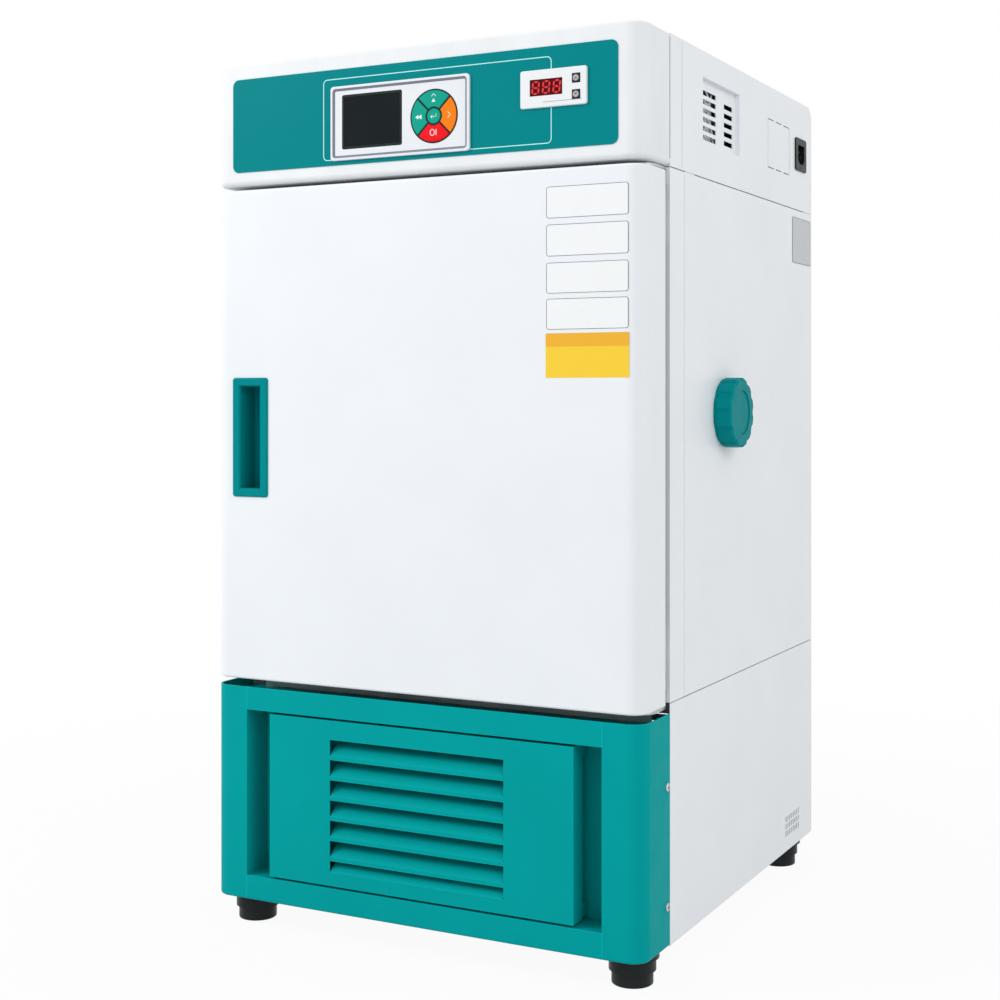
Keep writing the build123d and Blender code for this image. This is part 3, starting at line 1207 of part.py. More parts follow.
def display_window():
    """Dark window over the display, just below the plate."""
    return display_plate(BEZEL_PLATE + DISPLAY_SET, DISPLAY_THICKNESS)


def on_keypad(sketch, y, depth):
    """Solid from a flat outline about the keypad's centre, from a front plane and a depth."""
    seat = Plane(origin=(KEYPAD_X, y + depth, KEYPAD_Z), x_dir=(1, 0, 0), z_dir=(0, -1, 0))
    return seat * extrude(sketch, amount=depth, dir=(0, 0, 1))


def keypad_well(rise):
    """Round well of the keypad, raised above the plate by a given amount."""
    front = BEZEL_PLATE - rise
    return on_keypad(Circle(KEYPAD_RADIUS), front, WELL_FLOOR - front)


def sector_outline(angle, gap):
    """Outline of one of the four outer keys, with a gap all round."""
    ring = Circle(KEYPAD_RADIUS - KEYPAD_RIM - gap) - Circle(KEY_CENTRE_OUTER + gap)
    apex = (KEYPAD_RIB / 2 + gap) * math.sqrt(2)
    far = apex + 2 * KEYPAD_RADIUS
    wedge = Polygon((apex, 0), (far, apex - far), (far, far - apex), align=None)
    return (ring & wedge).rotate(Axis.Z, angle)


def keypad_frame():
    """Black frame of rim, ribs and centre ring between the keys of the round keypad."""
    outline = Circle(KEYPAD_RADIUS) - Circle(KEY_CENTRE_RADIUS + FIT_GAP)
    for angle in KEY_ANGLES[1:]:
        outline = outline - sector_outline(angle, 0)
    front = BEZEL_PLATE - KEYPAD_RIB_SET
    return on_keypad(outline, front, WELL_FLOOR - front)


def key_stem(angle, gap):
    """Guide stem behind a key; the centre key has no angle."""
    middle = (KEYPAD_RADIUS - KEYPAD_RIM + KEY_CENTRE_OUTER) / 2
    reach = 0.0 if angle is None else middle
    turn = math.radians(angle or 0.0)
    x = KEYPAD_X + reach * math.cos(turn)
    z = KEYPAD_Z + reach * math.sin(turn)
    back = WELL_FLOOR + KEY_STEM - KEY_TRAVEL
    if gap:
        back = WELL_FLOOR + KEY_STEM + gap
    return rod((x, KEY_BACK - KEY_ROUND, z), (x, back, z), KEY_STEM_RADIUS + gap)


def keypad_key(angle):
    """One key of the round keypad, at an angle from +X, or the centre key."""
    outline = Circle(KEY_CENTRE_RADIUS) if angle is None else sector_outline(angle, FIT_GAP)
    key = on_keypad(outline, KEY_BACK - KEY_THICKNESS, KEY_THICKNESS)
    key = chamfer(key.faces().sort_by(Axis.Y)[0].edges(), KEY_ROUND)
    return key + key_stem(angle, 0)


def thermostat_key_block(index, gap, depth):
    """Box of a thermostat key, with a gap all round."""
    x0 = THERMO_X + THERMO_KEY_LEFT
    z1 = THERMO_TOP - THERMO_KEY_TOPS[index]
    front = THERMO_FRONT - THERMO_KEY_PROUD
    return block(x0 - gap, x0 + THERMO_KEY_WIDTH + gap, front, front + depth,
                 z1 - THERMO_KEY_HEIGHT - gap, z1 + gap)


def thermostat_housing():
    """White thermostat module with its window recess and key wells."""
    x = THERMO_X + THERMO_WIDTH / 2
    z = THERMO_TOP - THERMO_HEIGHT / 2
    front = corner_plate(THERMO_WIDTH, THERMO_PROUD, THERMO_HEIGHT, THERMO_CORNER)
    front = front.moved(Location((x, THERMO_FRONT, z)))
    front = fillet(front.faces().sort_by(Axis.Y)[0].edges(), THERMO_CORNER * 0.5)
    left = THERMO_X + THERMO_WINDOW_LEFT
    top = THERMO_TOP - THERMO_WINDOW_TOP
    window = block(left, left + THERMO_WINDOW_WIDTH, THERMO_FRONT - MARGIN,
                   THERMO_FRONT + THERMO_WINDOW_DEPTH, top - THERMO_WINDOW_HEIGHT, top)
    wells = []
    for index in range(len(THERMO_KEY_TOPS)):
        wells.append(thermostat_key_block(index, FIT_GAP, THERMO_KEY_THICKNESS + KEY_TRAVEL + FIT_GAP))
        wells.append(thermostat_stem(index, FIT_GAP))
    return cut(front + thermostat_body(0), [window] + wells)


def thermostat_stem(index, gap):
    """Guide stem behind a thermostat key."""
    x = THERMO_X + THERMO_KEY_LEFT + THERMO_KEY_WIDTH / 2
    z = THERMO_TOP - THERMO_KEY_TOPS[index] - THERMO_KEY_HEIGHT / 2
    front = THERMO_FRONT - THERMO_KEY_PROUD + THERMO_KEY_THICKNESS
    back = front + KEY_TRAVEL + KEY_STEM + 2 * gap - (0 if gap else KEY_TRAVEL)
    return rod((x, front - KEY_ROUND, z), (x, back, z), KEY_STEM_RADIUS + gap)


def thermostat_key(index):
    """Small square key of the thermostat."""
    key = thermostat_key_block(index, 0, THERMO_KEY_THICKNESS)
    return chamfer(key.faces().sort_by(Axis.Y)[0].edges(), KEY_ROUND) + thermostat_stem(index, 0)


def console_cover():
    """Top, sides and rear edge of the console, with the pressed vent, knock-out and inlet hole."""
    front = BODY_FRONT + PANEL_GAP
    outer = block(-SIDE, SIDE, front, BACK, CONSOLE_BOTTOM, TOP)
    outer = fillet(outer.edges().filter_by(Axis.X).sort_by(lambda e: e.center().Y + e.center().Z)[-1],
                   COVER_REAR_ROUND)
    inner = block(-SIDE + SHEET, SIDE - SHEET, front - MARGIN, BACK - SHEET,
                  CONSOLE_BOTTOM - MARGIN, TOP - SHEET)
    inner = fillet(inner.edges().filter_by(Axis.X).sort_by(lambda e: e.center().Y + e.center().Z)[-1],
                   COVER_REAR_ROUND - SHEET)
    rear_gap = block(-SIDE + SHEET, SIDE - SHEET, BACK - SHEET - MARGIN, BACK + MARGIN,
                     CONSOLE_BOTTOM - MARGIN, TOP - COVER_REAR_LIP)
    ring = block(-SIDE + SHEET, SIDE - SHEET, front, REAR_INSIDE, CONSOLE_BOTTOM, CONSOLE_BOTTOM + SHEET)
    ring = ring - block(-SIDE + COVER_FLANGE, SIDE - COVER_FLANGE, front + COVER_FLANGE,
                        REAR_INSIDE - COVER_FLANGE, CONSOLE_BOTTOM - MARGIN, CONSOLE_BOTTOM + MARGIN)
    pads = []
    for x in (-SIDE + SHEET, SIDE - COVER_FLANGE):
        for y in (STRIP_BACK + MARGIN, REAR_INSIDE - COVER_PAD):
            pads.append(block(x, x + COVER_FLANGE - SHEET, y, y + COVER_PAD,
                              BODY_TOP, CONSOLE_BOTTOM + SHEET / 2))
    groove_y = BODY_FRONT + CONSOLE_STRIP_DEPTH
    groove = block(-SIDE - MARGIN, SIDE + MARGIN, groove_y, groove_y + 2 * GROOVE, CONSOLE_BOTTOM - MARGIN,
                   TOP + MARGIN)
    groove = groove - block(-SIDE + GROOVE, SIDE - GROOVE, FRONT, BACK, 0, TOP - GROOVE)
    cover = fuse([outer - inner - rear_gap, ring] + pads)
    cover = cut(cover, [groove, side_vent_window()] + knockout_cuts() + [inlet_body(FIT_GAP)])
    return cover + side_vent_pocket()


def side_vent_window():
    """Rectangular hole that the pressed vent pocket fills."""
    y0 = FRONT + SIDE_VENT_FROM_FRONT
    z0 = CONSOLE_BOTTOM + SIDE_VENT_BOTTOM
    return block(SIDE - MARGIN, SIDE + MARGIN, y0, y0 + SIDE_VENT_WIDTH, z0, z0 + SIDE_VENT_HEIGHT)


def side_vent_pocket():
    """Pressed pocket with a wide and a narrow column of slots in its floor."""
    y0 = FRONT + SIDE_VENT_FROM_FRONT
    y1 = y0 + SIDE_VENT_WIDTH
    z0 = CONSOLE_BOTTOM + SIDE_VENT_BOTTOM
    z1 = z0 + SIDE_VENT_HEIGHT
    floor = SIDE - SIDE_VENT_POCKET
    body = block(floor - SHEET, SIDE, y0 - SHEET, y1 + SHEET, z0 - SHEET, z1 + SHEET)
    body = body - block(SIDE - SHEET, SIDE + MARGIN, y0 - 2 * SHEET, y1 + 2 * SHEET, z0 - 2 * SHEET, z0)
    body = body - block(SIDE - SHEET, SIDE + MARGIN, y0 - 2 * SHEET, y1 + 2 * SHEET, z1, z1 + 2 * SHEET)
    body = body - block(SIDE - SHEET, SIDE + MARGIN, y0 - 2 * SHEET, y0, z0 - SHEET, z1 + SHEET)
    body = body - block(SIDE - SHEET, SIDE + MARGIN, y1, y1 + 2 * SHEET, z0 - SHEET, z1 + SHEET)
    hollow = block(floor, SIDE + MARGIN, y0, y1, z0, z1)
    slots = []
    for row in range(WIDE_SLOT_ROWS):
        z = z0 + WIDE_SLOT_LIFT + row * WIDE_SLOT_PITCH
        start = y0 + SIDE_VENT_MARGIN
        slots.append(block(floor - 2 * SHEET, floor + SHEET, start, start + WIDE_SLOT_LENGTH,
                           z, z + SIDE_VENT_SLOT))
    for row in range(NARROW_SLOT_ROWS):
        z = z0 + NARROW_SLOT_LIFT + row * NARROW_SLOT_PITCH
        stop = y1 - SIDE_VENT_MARGIN
        slots.append(block(floor - 2 * SHEET, floor + SHEET, stop - NARROW_SLOT_LENGTH, stop,
                           z, z + SIDE_VENT_SLOT))
    return cut(body - hollow, slots)


def knockout_cuts():
    """Slits through the top and bottom edges, and shallow grooves down the sides, of a knock-out."""
    y0 = FRONT + KNOCKOUT_FROM_FRONT
    z0 = CONSOLE_BOTTOM + KNOCKOUT_BOTTOM
    z1 = z0 + KNOCKOUT_HEIGHT
    length = (KNOCKOUT_WIDTH - (KNOCKOUT_SLITS - 1) * KNOCKOUT_BRIDGE) / KNOCKOUT_SLITS
    cuts = []
    for z in (z0, z1 - KNOCKOUT_CUT):
        for index in range(KNOCKOUT_SLITS):
            start = y0 + index * (length + KNOCKOUT_BRIDGE)
            cuts.append(block(SIDE - MARGIN, SIDE + MARGIN, start, start + length, z, z + KNOCKOUT_CUT))
    for y in (y0, y0 + KNOCKOUT_WIDTH - GROOVE):
        cuts.append(block(SIDE - GROOVE, SIDE + MARGIN, y, y + GROOVE, z0 + KNOCKOUT_CUT, z1 - KNOCKOUT_CUT))
    return cuts


def inlet_body(gap):
    """Body of the mains inlet behind its flange, with a gap all round."""
    y0 = FRONT + INLET_FROM_FRONT
    z0 = CONSOLE_BOTTOM + INLET_BOTTOM
    margin = INLET_BODY_MARGIN - gap
    return block(SIDE - INLET_BODY_DEPTH, SIDE + INLET_FLANGE / 2, y0 + margin, y0 + INLET_WIDTH - margin,
                 z0 + margin, z0 + INLET_HEIGHT - margin)


def power_inlet():
    """Mains inlet: flange, body, socket with bevelled lower corners, and three pins."""
    y0 = FRONT + INLET_FROM_FRONT
    z0 = CONSOLE_BOTTOM + INLET_BOTTOM
    y = y0 + INLET_WIDTH / 2
    z = z0 + INLET_HEIGHT / 2
    flange = block(SIDE, SIDE + INLET_FLANGE, y0, y0 + INLET_WIDTH, z0, z0 + INLET_HEIGHT)
    flange = fillet(flange.edges().filter_by(Axis.X), INLET_CORNER)
    margin = INLET_SOCKET_MARGIN
    socket = block(SIDE + INLET_FLANGE - INLET_SOCKET_DEPTH, SIDE + INLET_FLANGE + MARGIN, y0 + margin,
                   y0 + INLET_WIDTH - margin, z0 + margin, z0 + INLET_HEIGHT - margin)
    lower = socket.edges().filter_by(Axis.X).group_by(Axis.Z)[0]
    socket = chamfer(lower, INLET_CORNER * 1.5)
    inlet = flange + inlet_body(0) - socket
    floor = SIDE + INLET_FLANGE - INLET_SOCKET_DEPTH
    for side, rise in ((-1, -INLET_PIN_DROP / 2), (0, INLET_PIN_DROP), (1, -INLET_PIN_DROP / 2)):
        pin_y = y + side * INLET_PIN_SPACING
        pin_z = z + rise
        pin = Pos(floor + INLET_PIN_LENGTH / 2, pin_y, pin_z) * Box(
            INLET_PIN_LENGTH + SHEET, INLET_PIN_WIDTH, INLET_PIN_HEIGHT)
        inlet = inlet + pin
    return inlet


def control_board():
    """Upright circuit board beside the vent, with its standoffs, transformer and relays."""
    face = SIDE - BOARD_INSET
    y0 = FRONT + BOARD_FROM_FRONT
    z0 = CONSOLE_BOTTOM + SHEET + BOARD_STANDOFF
    board = block(face - BOARD_THICKNESS, face, y0, y0 + BOARD_WIDTH, z0, z0 + BOARD_HEIGHT)
    pieces = [board]
    for y in (y0 + BOARD_STANDOFF, y0 + BOARD_WIDTH - BOARD_STANDOFF):
        pieces.append(block(face - BOARD_STANDOFF, SIDE - SHEET, y - BOARD_STANDOFF_RADIUS,
                            y + BOARD_STANDOFF_RADIUS, CONSOLE_BOTTOM + SHEET, z0 + BOARD_STANDOFF))
    relay = BOARD_STANDOFF * 2
    pieces.append(block(face - SHEET, face + relay * 1.6, y0 + BOARD_WIDTH * 0.25, y0 + BOARD_WIDTH * 0.5,
                        z0 + BOARD_HEIGHT * 0.3, z0 + BOARD_HEIGHT * 0.8))
    for index in range(3):
        y = y0 + BOARD_WIDTH * 0.6 + index * relay * 1.2
        pieces.append(block(face - SHEET, face + relay, y, y + relay,
                            z0 + BOARD_HEIGHT * 0.5, z0 + BOARD_HEIGHT * 0.8))
    return fuse(pieces)


def condenser_coil():
    """Finned condenser behind the grille."""
    coil = finned_coil(CONDENSER_WIDTH, CONDENSER_DEPTH, CONDENSER_HEIGHT, CONDENSER_SLOTS, CONDENSER_ROWS)
    return coil.moved(Location((0, CONDENSER_FRONT, PAN_TOP)))


def fan_front():
    """Front plane of the condenser fan's hub."""
    return CONDENSER_BACK + SHROUD_SHEET + FAN_TIP_GAP


def condenser_fan_blade():
    """Fan behind the condenser."""
    bore = (SHAFT_RADIUS + BEARING_GAP, SHAFT_ENGAGEMENT + MOTOR_GAP)
    fan = axial_fan(FAN_RADIUS, FAN_HUB_RADIUS, FAN_HUB_LENGTH, bore, FAN_BLADES)
    return fan.moved(Location((0, fan_front(), FAN_AXIS_Z)))


def condenser_fan_shroud():
    """Shroud plate and ring on the condenser, with the motor on a four-armed spider."""
    half = coil_half(CONDENSER_WIDTH)
    centre = FAN_AXIS_Z
    y0 = CONDENSER_BACK
    inner = FAN_RADIUS + FAN_TIP_GAP
    plate = block(-half, half, y0, y0 + SHROUD_SHEET, PAN_TOP, PAN_TOP + CONDENSER_HEIGHT)
    ring = rod((0, y0, centre), (0, y0 + SHROUD_DEPTH, centre), inner + SHROUD_WALL)
    bore = rod((0, y0 - MARGIN, centre), (0, y0 + SHROUD_DEPTH + MARGIN, centre), inner)
    shroud = plate + ring - bore
    motor_front = fan_front() + FAN_HUB_LENGTH + MOTOR_GAP
    motor = rod((0, motor_front, centre), (0, motor_front + MOTOR_LENGTH, centre), MOTOR_RADIUS)
    motor = fillet(motor.edges().filter_by(GeomType.CIRCLE), FOOT_ROUND)
    shaft = rod((0, motor_front - MOTOR_GAP - SHAFT_ENGAGEMENT, centre), (0, motor_front + MARGIN, centre),
                SHAFT_RADIUS)
    arm_back = motor_front + SPIDER_ARM
    arms = []
    for angle in (45.0, 135.0):
        bar = block(-inner - SHROUD_WALL / 2, inner + SHROUD_WALL / 2, motor_front + SHEET, arm_back,
                    -SPIDER_ARM / 2, SPIDER_ARM / 2)
        arms.append(bar.rotate(Axis.Y, angle).moved(Location((0, 0, centre))))
    hoop_back = max(arm_back, y0 + SHROUD_DEPTH)
    hoop = rod((0, y0 + SHROUD_SHEET, centre), (0, hoop_back, centre), inner + SHROUD_WALL)
    hoop = hoop - rod((0, y0, centre), (0, hoop_back + MARGIN, centre), inner)
    return fuse([shroud, hoop, motor, shaft] + arms)


def compressor_centre():
    """Place of the compressor's upright axis."""
    return 0.0, BACK - COMPRESSOR_FROM_REAR


def compressor():
    """Hermetic compressor: domed can with a weld seam, terminal cover, feet plate and rubber mounts."""
    x, y = compressor_centre()
    plate_low = PAN_TOP + GROMMET_HEIGHT
    can_low = plate_low + HINGE_LEAF
    can = rod((x, y, can_low), (x, y, can_low + COMPRESSOR_HEIGHT), COMPRESSOR_RADIUS)
    can = fillet(can.edges().filter_by(GeomType.CIRCLE).sort_by(Axis.Z)[-1], COMPRESSOR_DOME)
    can = fillet(can.edges().filter_by(GeomType.CIRCLE).sort_by(Axis.Z)[0], COMPRESSOR_BASE_ROUND)
    middle = can_low + COMPRESSOR_HEIGHT * 0.5
    seam = rod((x, y, middle), (x, y, middle + COMPRESSOR_SEAM), COMPRESSOR_RADIUS + COMPRESSOR_SEAM)
    plate = block(x - COMPRESSOR_FEET / 2, x + COMPRESSOR_FEET / 2, y - COMPRESSOR_FEET_DEPTH / 2,
                  y + COMPRESSOR_FEET_DEPTH / 2, plate_low, can_low + PANEL_GAP)
    plate = fillet(plate.edges().filter_by(Axis.Z), GROMMET_RADIUS)
    cover_back = y + COMPRESSOR_RADIUS + TERMINAL_BOX / 2
    cover = block(x - TERMINAL_BOX / 2, x + TERMINAL_BOX / 2, y + COMPRESSOR_RADIUS * 0.8, cover_back,
                  middle - TERMINAL_BOX, middle - COMPRESSOR_SEAM)
    pieces = [fuse([can, seam, plate, cover])]
    for sx in (-1, 1):
        for sy in (-1, 1):
            gx = x + sx * (COMPRESSOR_FEET / 2 - GROMMET_RADIUS)
            gy = y + sy * (COMPRESSOR_FEET_DEPTH / 2 - GROMMET_RADIUS)
            pieces.append(rod((gx, gy, PAN_TOP), (gx, gy, plate_low), GROMMET_RADIUS))
    return pieces


def riser_positions():
    """Where the liquid and suction pipes pass up through the floor of the chamber."""
    x = -coil_half(EVAPORATOR_WIDTH) - RISER_FROM_COIL
    y = CHAMBER_REAR - EVAPORATOR_DEPTH / 2
    return [(x - RISER_PITCH, y), (x, y)]


def refrigerant_passages(z0, z1):
    """Holes for the two pipes that pass into the chamber."""
    return [rod((x, y, z0), (x, y, z1), PIPE_RADIUS + FIT_GAP) for x, y in riser_positions()]


def suction_height():
    """Height of the compressor's pipe stubs."""
    return PAN_TOP + GROMMET_HEIGHT + HINGE_LEAF + COMPRESSOR_HEIGHT * 0.62


def suction_pipe():
    """Pipe from the evaporator's lowest row down to the compressor."""
    x, y = compressor_centre()
    riser_x, riser_y = riser_positions()[1]
    low = suction_height()
    high = CHAMBER_BOTTOM + EVAPORATOR_LIFT + EVAPORATOR_HEIGHT / (EVAPORATOR_ROWS + 1)
    points = [(x - COMPRESSOR_RADIUS, y, low), (riser_x, y, low), (riser_x, riser_y, low)]
    points += [(riser_x, riser_y, high), (-coil_half(EVAPORATOR_WIDTH), riser_y, high)]
    return pipe(points, PIPE_RADIUS, PIPE_BEND)


def liquid_pipe():
    """Pipe from the condenser's lowest row through the drier to the evaporator's top row."""
    riser_x, riser_y = riser_positions()[0]
    mid_y = CONDENSER_FRONT + CONDENSER_DEPTH / 2
    low = PAN_TOP + CONDENSER_HEIGHT / (CONDENSER_ROWS + 1)
    run_z = LOWER_TOP - PIPE_BEND * 2
    run_x = -CHAMBER_SIDE
    rows = EVAPORATOR_ROWS
    high = CHAMBER_BOTTOM + EVAPORATOR_LIFT + EVAPORATOR_HEIGHT * rows / (rows + 1)
    points = [(-coil_half(CONDENSER_WIDTH), mid_y, low), (run_x, mid_y, low), (run_x, mid_y, run_z)]
    points += [(run_x, riser_y, run_z), (riser_x, riser_y, run_z), (riser_x, riser_y, high)]
    points.append((-coil_half(EVAPORATOR_WIDTH), riser_y, high))
    run = pipe(points, PIPE_RADIUS, PIPE_BEND * 0.6)
    drier_y = (mid_y + riser_y) / 2
    drier_half = DRIER_LENGTH / 2
    drier = rod((run_x, drier_y - drier_half, run_z), (run_x, drier_y + drier_half, run_z), DRIER_RADIUS)
    return run + fillet(drier.edges().filter_by(GeomType.CIRCLE), DRIER_RADIUS * 0.6)


def discharge_pipe():
    """Pipe from the compressor to the condenser's top row."""
    x, y = compressor_centre()
    low = suction_height()
    mid_y = CONDENSER_FRONT + CONDENSER_DEPTH / 2
    rows = CONDENSER_ROWS
    high = PAN_TOP + CONDENSER_HEIGHT * rows / (rows + 1)
    out_x = coil_half(CONDENSER_WIDTH) + PIPE_BEND * 3
    points = [(x + COMPRESSOR_RADIUS, y, low), (out_x, y, low), (out_x, mid_y, low), (out_x, mid_y, high)]
    points.append((coil_half(CONDENSER_WIDTH), mid_y, high))
    return pipe(points, PIPE_RADIUS, PIPE_BEND * 0.6)


def build():
    """Every piece of the incubator by node name."""
    nodes = {
        "base_post_left": base_post(),
        "base_post_right": mirror(base_post(), about=Plane.YZ),
        "base_top_rail": base_top_rail(),
        "base_bottom_rail": base_bottom_rail(),
        "recess_plate": recess_plate(),
        "grille_panel": grille_panel(),
        "frame_screws": frame_screws(),
        "foot_front_left": foot(-FOOT_X, FOOT_FRONT_Y),
        "foot_front_right": foot(FOOT_X, FOOT_FRONT_Y),
        "foot_rear_left": foot(-FOOT_X, FOOT_REAR_Y),
        "foot_rear_right": foot(FOOT_X, FOOT_REAR_Y),
        "base_pan": base_pan(),
        "lower_side_left": lower_side(-1),
        "lower_side_right": lower_side(1),
        "rear_panel": rear_panel(),
        "condenser_coil": condenser_coil(),
        "condenser_fan_shroud": condenser_fan_shroud(),
        "condenser_fan_blade": condenser_fan_blade(),
        "compressor": compressor(),
        "refrigerant_pipes": [suction_pipe(), liquid_pipe(), discharge_pipe()],
        "cabinet_floor_plate": cabinet_floor_plate(),
        "body_wrap": body_wrap(),
        "front_frame": front_frame(),
        "insulation_foam": insulation_foam(),
        "chamber_liner": chamber_liner(),
        "shelf_rails": shelf_rails(),
        "wire_shelf_lower": wire_shelf(SHELF_HEIGHTS[0]),
        "wire_shelf_upper": wire_shelf(SHELF_HEIGHTS[1]),
        "air_duct_panel": air_duct_panel(),
        "circulation_fan_blade": circulation_fan_blade(),
        "circulation_fan_motor": circulation_fan_motor(),
        "evaporator_coil": evaporator_coil(),
        "heater_element": heater_element(),
        "temperature_probe": temperature_probe(),
        "port_sleeve": port_sleeve(),
        "port_cap": port_cap(),
        "door_shell": door_shell(),
        "door_foam": door_foam(),
        "door_liner": door_liner(),
        "door_gasket": door_gasket(),
        "door_handle": door_handle(),
        "hinge_brackets": hinge_brackets(),
        "inner_door_glass": inner_door_glass(),
        "inner_door_fittings": inner_door_fittings(),
        "console_fascia": console_fascia(),
        "console_panel": console_panel(),
        "control_bezel": control_bezel(),
        "display_window": display_window(),
        "keypad_frame": keypad_frame(),
        "key_up": keypad_key(90),
        "key_left": keypad_key(180),
        "key_right": keypad_key(0),
        "key_power": keypad_key(270),
        "key_enter": keypad_key(None),
        "thermostat_housing": thermostat_housing(),
        "thermostat_key_upper": thermostat_key(0),
        "thermostat_key_lower": thermostat_key(1),
        "console_cover": console_cover(),
        "power_inlet": power_inlet(),
        "control_board": control_board(),
    }
    return nodes


def solids_of(shape):
    """Flat list of the separate solids in a piece or a group of pieces."""
    if isinstance(shape, (list, tuple)):
        return [solid for piece in shape for solid in solids_of(piece)]
    return list(shape.solids())


os.makedirs("parts", exist_ok=True)
SHIFT = Location((-ORIGIN_X, -ORIGIN_Y, 0))
for name, shape in build().items():
    solids = [solid.moved(SHIFT) for solid in solids_of(shape)]
    export_step(Compound(children=solids) if len(solids) > 1 else solids[0], f"parts/{name}.step")
    print(name, len(solids))
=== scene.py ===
import json
import math

import bmesh
import bpy
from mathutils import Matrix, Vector


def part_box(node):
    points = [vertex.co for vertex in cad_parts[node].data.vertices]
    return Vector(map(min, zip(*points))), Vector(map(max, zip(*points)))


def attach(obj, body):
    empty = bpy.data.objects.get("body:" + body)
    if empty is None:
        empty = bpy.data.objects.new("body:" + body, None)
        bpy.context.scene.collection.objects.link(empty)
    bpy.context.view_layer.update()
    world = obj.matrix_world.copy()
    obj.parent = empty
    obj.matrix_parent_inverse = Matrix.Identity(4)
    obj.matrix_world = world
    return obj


# Lengths are metres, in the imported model's frame: X to the right, Y to the back, Z up.
MM = 0.001

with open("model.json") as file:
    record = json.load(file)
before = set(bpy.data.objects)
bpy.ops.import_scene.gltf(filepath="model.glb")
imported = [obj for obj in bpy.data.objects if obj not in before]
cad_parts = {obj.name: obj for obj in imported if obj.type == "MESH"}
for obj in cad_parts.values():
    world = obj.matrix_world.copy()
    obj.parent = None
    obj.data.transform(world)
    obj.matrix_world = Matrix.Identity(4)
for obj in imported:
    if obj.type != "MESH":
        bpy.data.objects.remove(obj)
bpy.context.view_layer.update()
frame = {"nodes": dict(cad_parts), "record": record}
nodes = frame["nodes"]

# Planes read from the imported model
SHELL_LOW, SHELL_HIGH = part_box("door_shell")
PANEL_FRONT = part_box("console_panel")[0].y
BEZEL_LOW, BEZEL_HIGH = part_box("control_bezel")
COVER_LOW, COVER_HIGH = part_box("console_cover")
WRAP_LOW, WRAP_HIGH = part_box("body_wrap")
FASCIA_LOW, FASCIA_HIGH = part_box("console_fascia")
THERMO_LOW, THERMO_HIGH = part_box("thermostat_housing")
BASE_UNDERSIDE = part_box("base_bottom_rail")[0].z
LEFT, FRONT = SHELL_LOW.x, SHELL_LOW.y
RIGHT = SHELL_HIGH.x

# A drawn mark stands this far off its surface, and one drawn over another mark stands further off.
LIFT = 0.1 * MM
OVER_LIFT = 1.6 * LIFT
DOUBLE_LIFT = 2 * LIFT


# Materials


def node_tree(name):
    """New material with its node tree, shader and object coordinates."""
    material = bpy.data.materials.new(name)
    material.use_nodes = True
    tree = material.node_tree
    shader = tree.nodes["Principled BSDF"]
    coords = tree.nodes.new("ShaderNodeTexCoord")
    return material, tree, shader, coords.outputs["Object"]


def shader_coords(tree, name):
    """Another output of the material's coordinate node, such as the object normal."""
    return next(node for node in tree.nodes if node.type == "TEX_COORD").outputs[name]


def noise(tree, vector, scale, detail=3.0, roughness=0.55, stretch=None):
    """Noise texture output at so many cells a metre, stretched along an axis if asked."""
    if stretch:
        mapping = tree.nodes.new("ShaderNodeMapping")
        mapping.inputs["Scale"].default_value = stretch
        tree.links.new(vector, mapping.inputs["Vector"])
        vector = mapping.outputs["Vector"]
    texture = tree.nodes.new("ShaderNodeTexNoise")
    texture.inputs["Scale"].default_value = scale
    texture.inputs["Detail"].default_value = detail
    texture.inputs["Roughness"].default_value = roughness
    tree.links.new(vector, texture.inputs["Vector"])
    return texture.outputs["Fac"]


def ramp(tree, value, low, high, start=0.3, end=0.7):
    """Value between two numbers as the input passes from start to end."""
    node = tree.nodes.new("ShaderNodeMapRange")
    node.inputs["From Min"].default_value = start
    node.inputs["From Max"].default_value = end
    node.inputs["To Min"].default_value = low
    node.inputs["To Max"].default_value = high
    tree.links.new(value, node.inputs["Value"])
    return node.outputs["Result"]


def maths(tree, operation, *values):
    """Result of a math node; each value is a number or a socket."""
    node = tree.nodes.new("ShaderNodeMath")
    node.operation = operation
    for socket, value in zip(node.inputs, values):
        if isinstance(value, float):
            socket.default_value = value
        else:
            tree.links.new(value, socket)
    return node.outputs[0]


def parts_of(tree, vector):
    """The X, Y and Z outputs of a vector."""
    node = tree.nodes.new("ShaderNodeSeparateXYZ")
    tree.links.new(vector, node.inputs[0])
    return node.outputs


def blend(tree, factor, first, second):
    """Colour between two colours; each is an RGB triple or a socket."""
    node = tree.nodes.new("ShaderNodeMix")
    node.data_type = "RGBA"
    tree.links.new(factor, node.inputs[0])
    for socket, value in ((node.inputs[6], first), (node.inputs[7], second)):
        if isinstance(value, (tuple, list)):
            socket.default_value = (*value, 1.0)
        else:
            tree.links.new(value, socket)
    return node.outputs[2]


def edge_wear_and_highlight(tree, radius, sharpness=6.0):
    """Near one on edges and near nought on flat faces."""
    bevel = tree.nodes.new("ShaderNodeBevel")
    bevel.samples = 4
    bevel.inputs["Radius"].default_value = radius
    geometry = tree.nodes.new("ShaderNodeNewGeometry")
    dot = tree.nodes.new("ShaderNodeVectorMath")
    dot.operation = "DOT_PRODUCT"
    tree.links.new(bevel.outputs["Normal"], dot.inputs[0])
    tree.links.new(geometry.outputs["Normal"], dot.inputs[1])
    return ramp(tree, dot.outputs["Value"], 0.0, 1.0, 1.0, 1.0 - 1.0 / sharpness)


def bump(tree, shader, height, strength, distance):
    """Fine relief on a shader."""
    node = tree.nodes.new("ShaderNodeBump")
    node.inputs["Strength"].default_value = strength
    node.inputs["Distance"].default_value = distance
    tree.links.new(height, node.inputs["Height"])
    tree.links.new(node.outputs["Normal"], shader.inputs["Normal"])


def shade(colour, factor):
    """Colour scaled by a factor."""
    return tuple(min(1.0, part * factor) for part in colour)


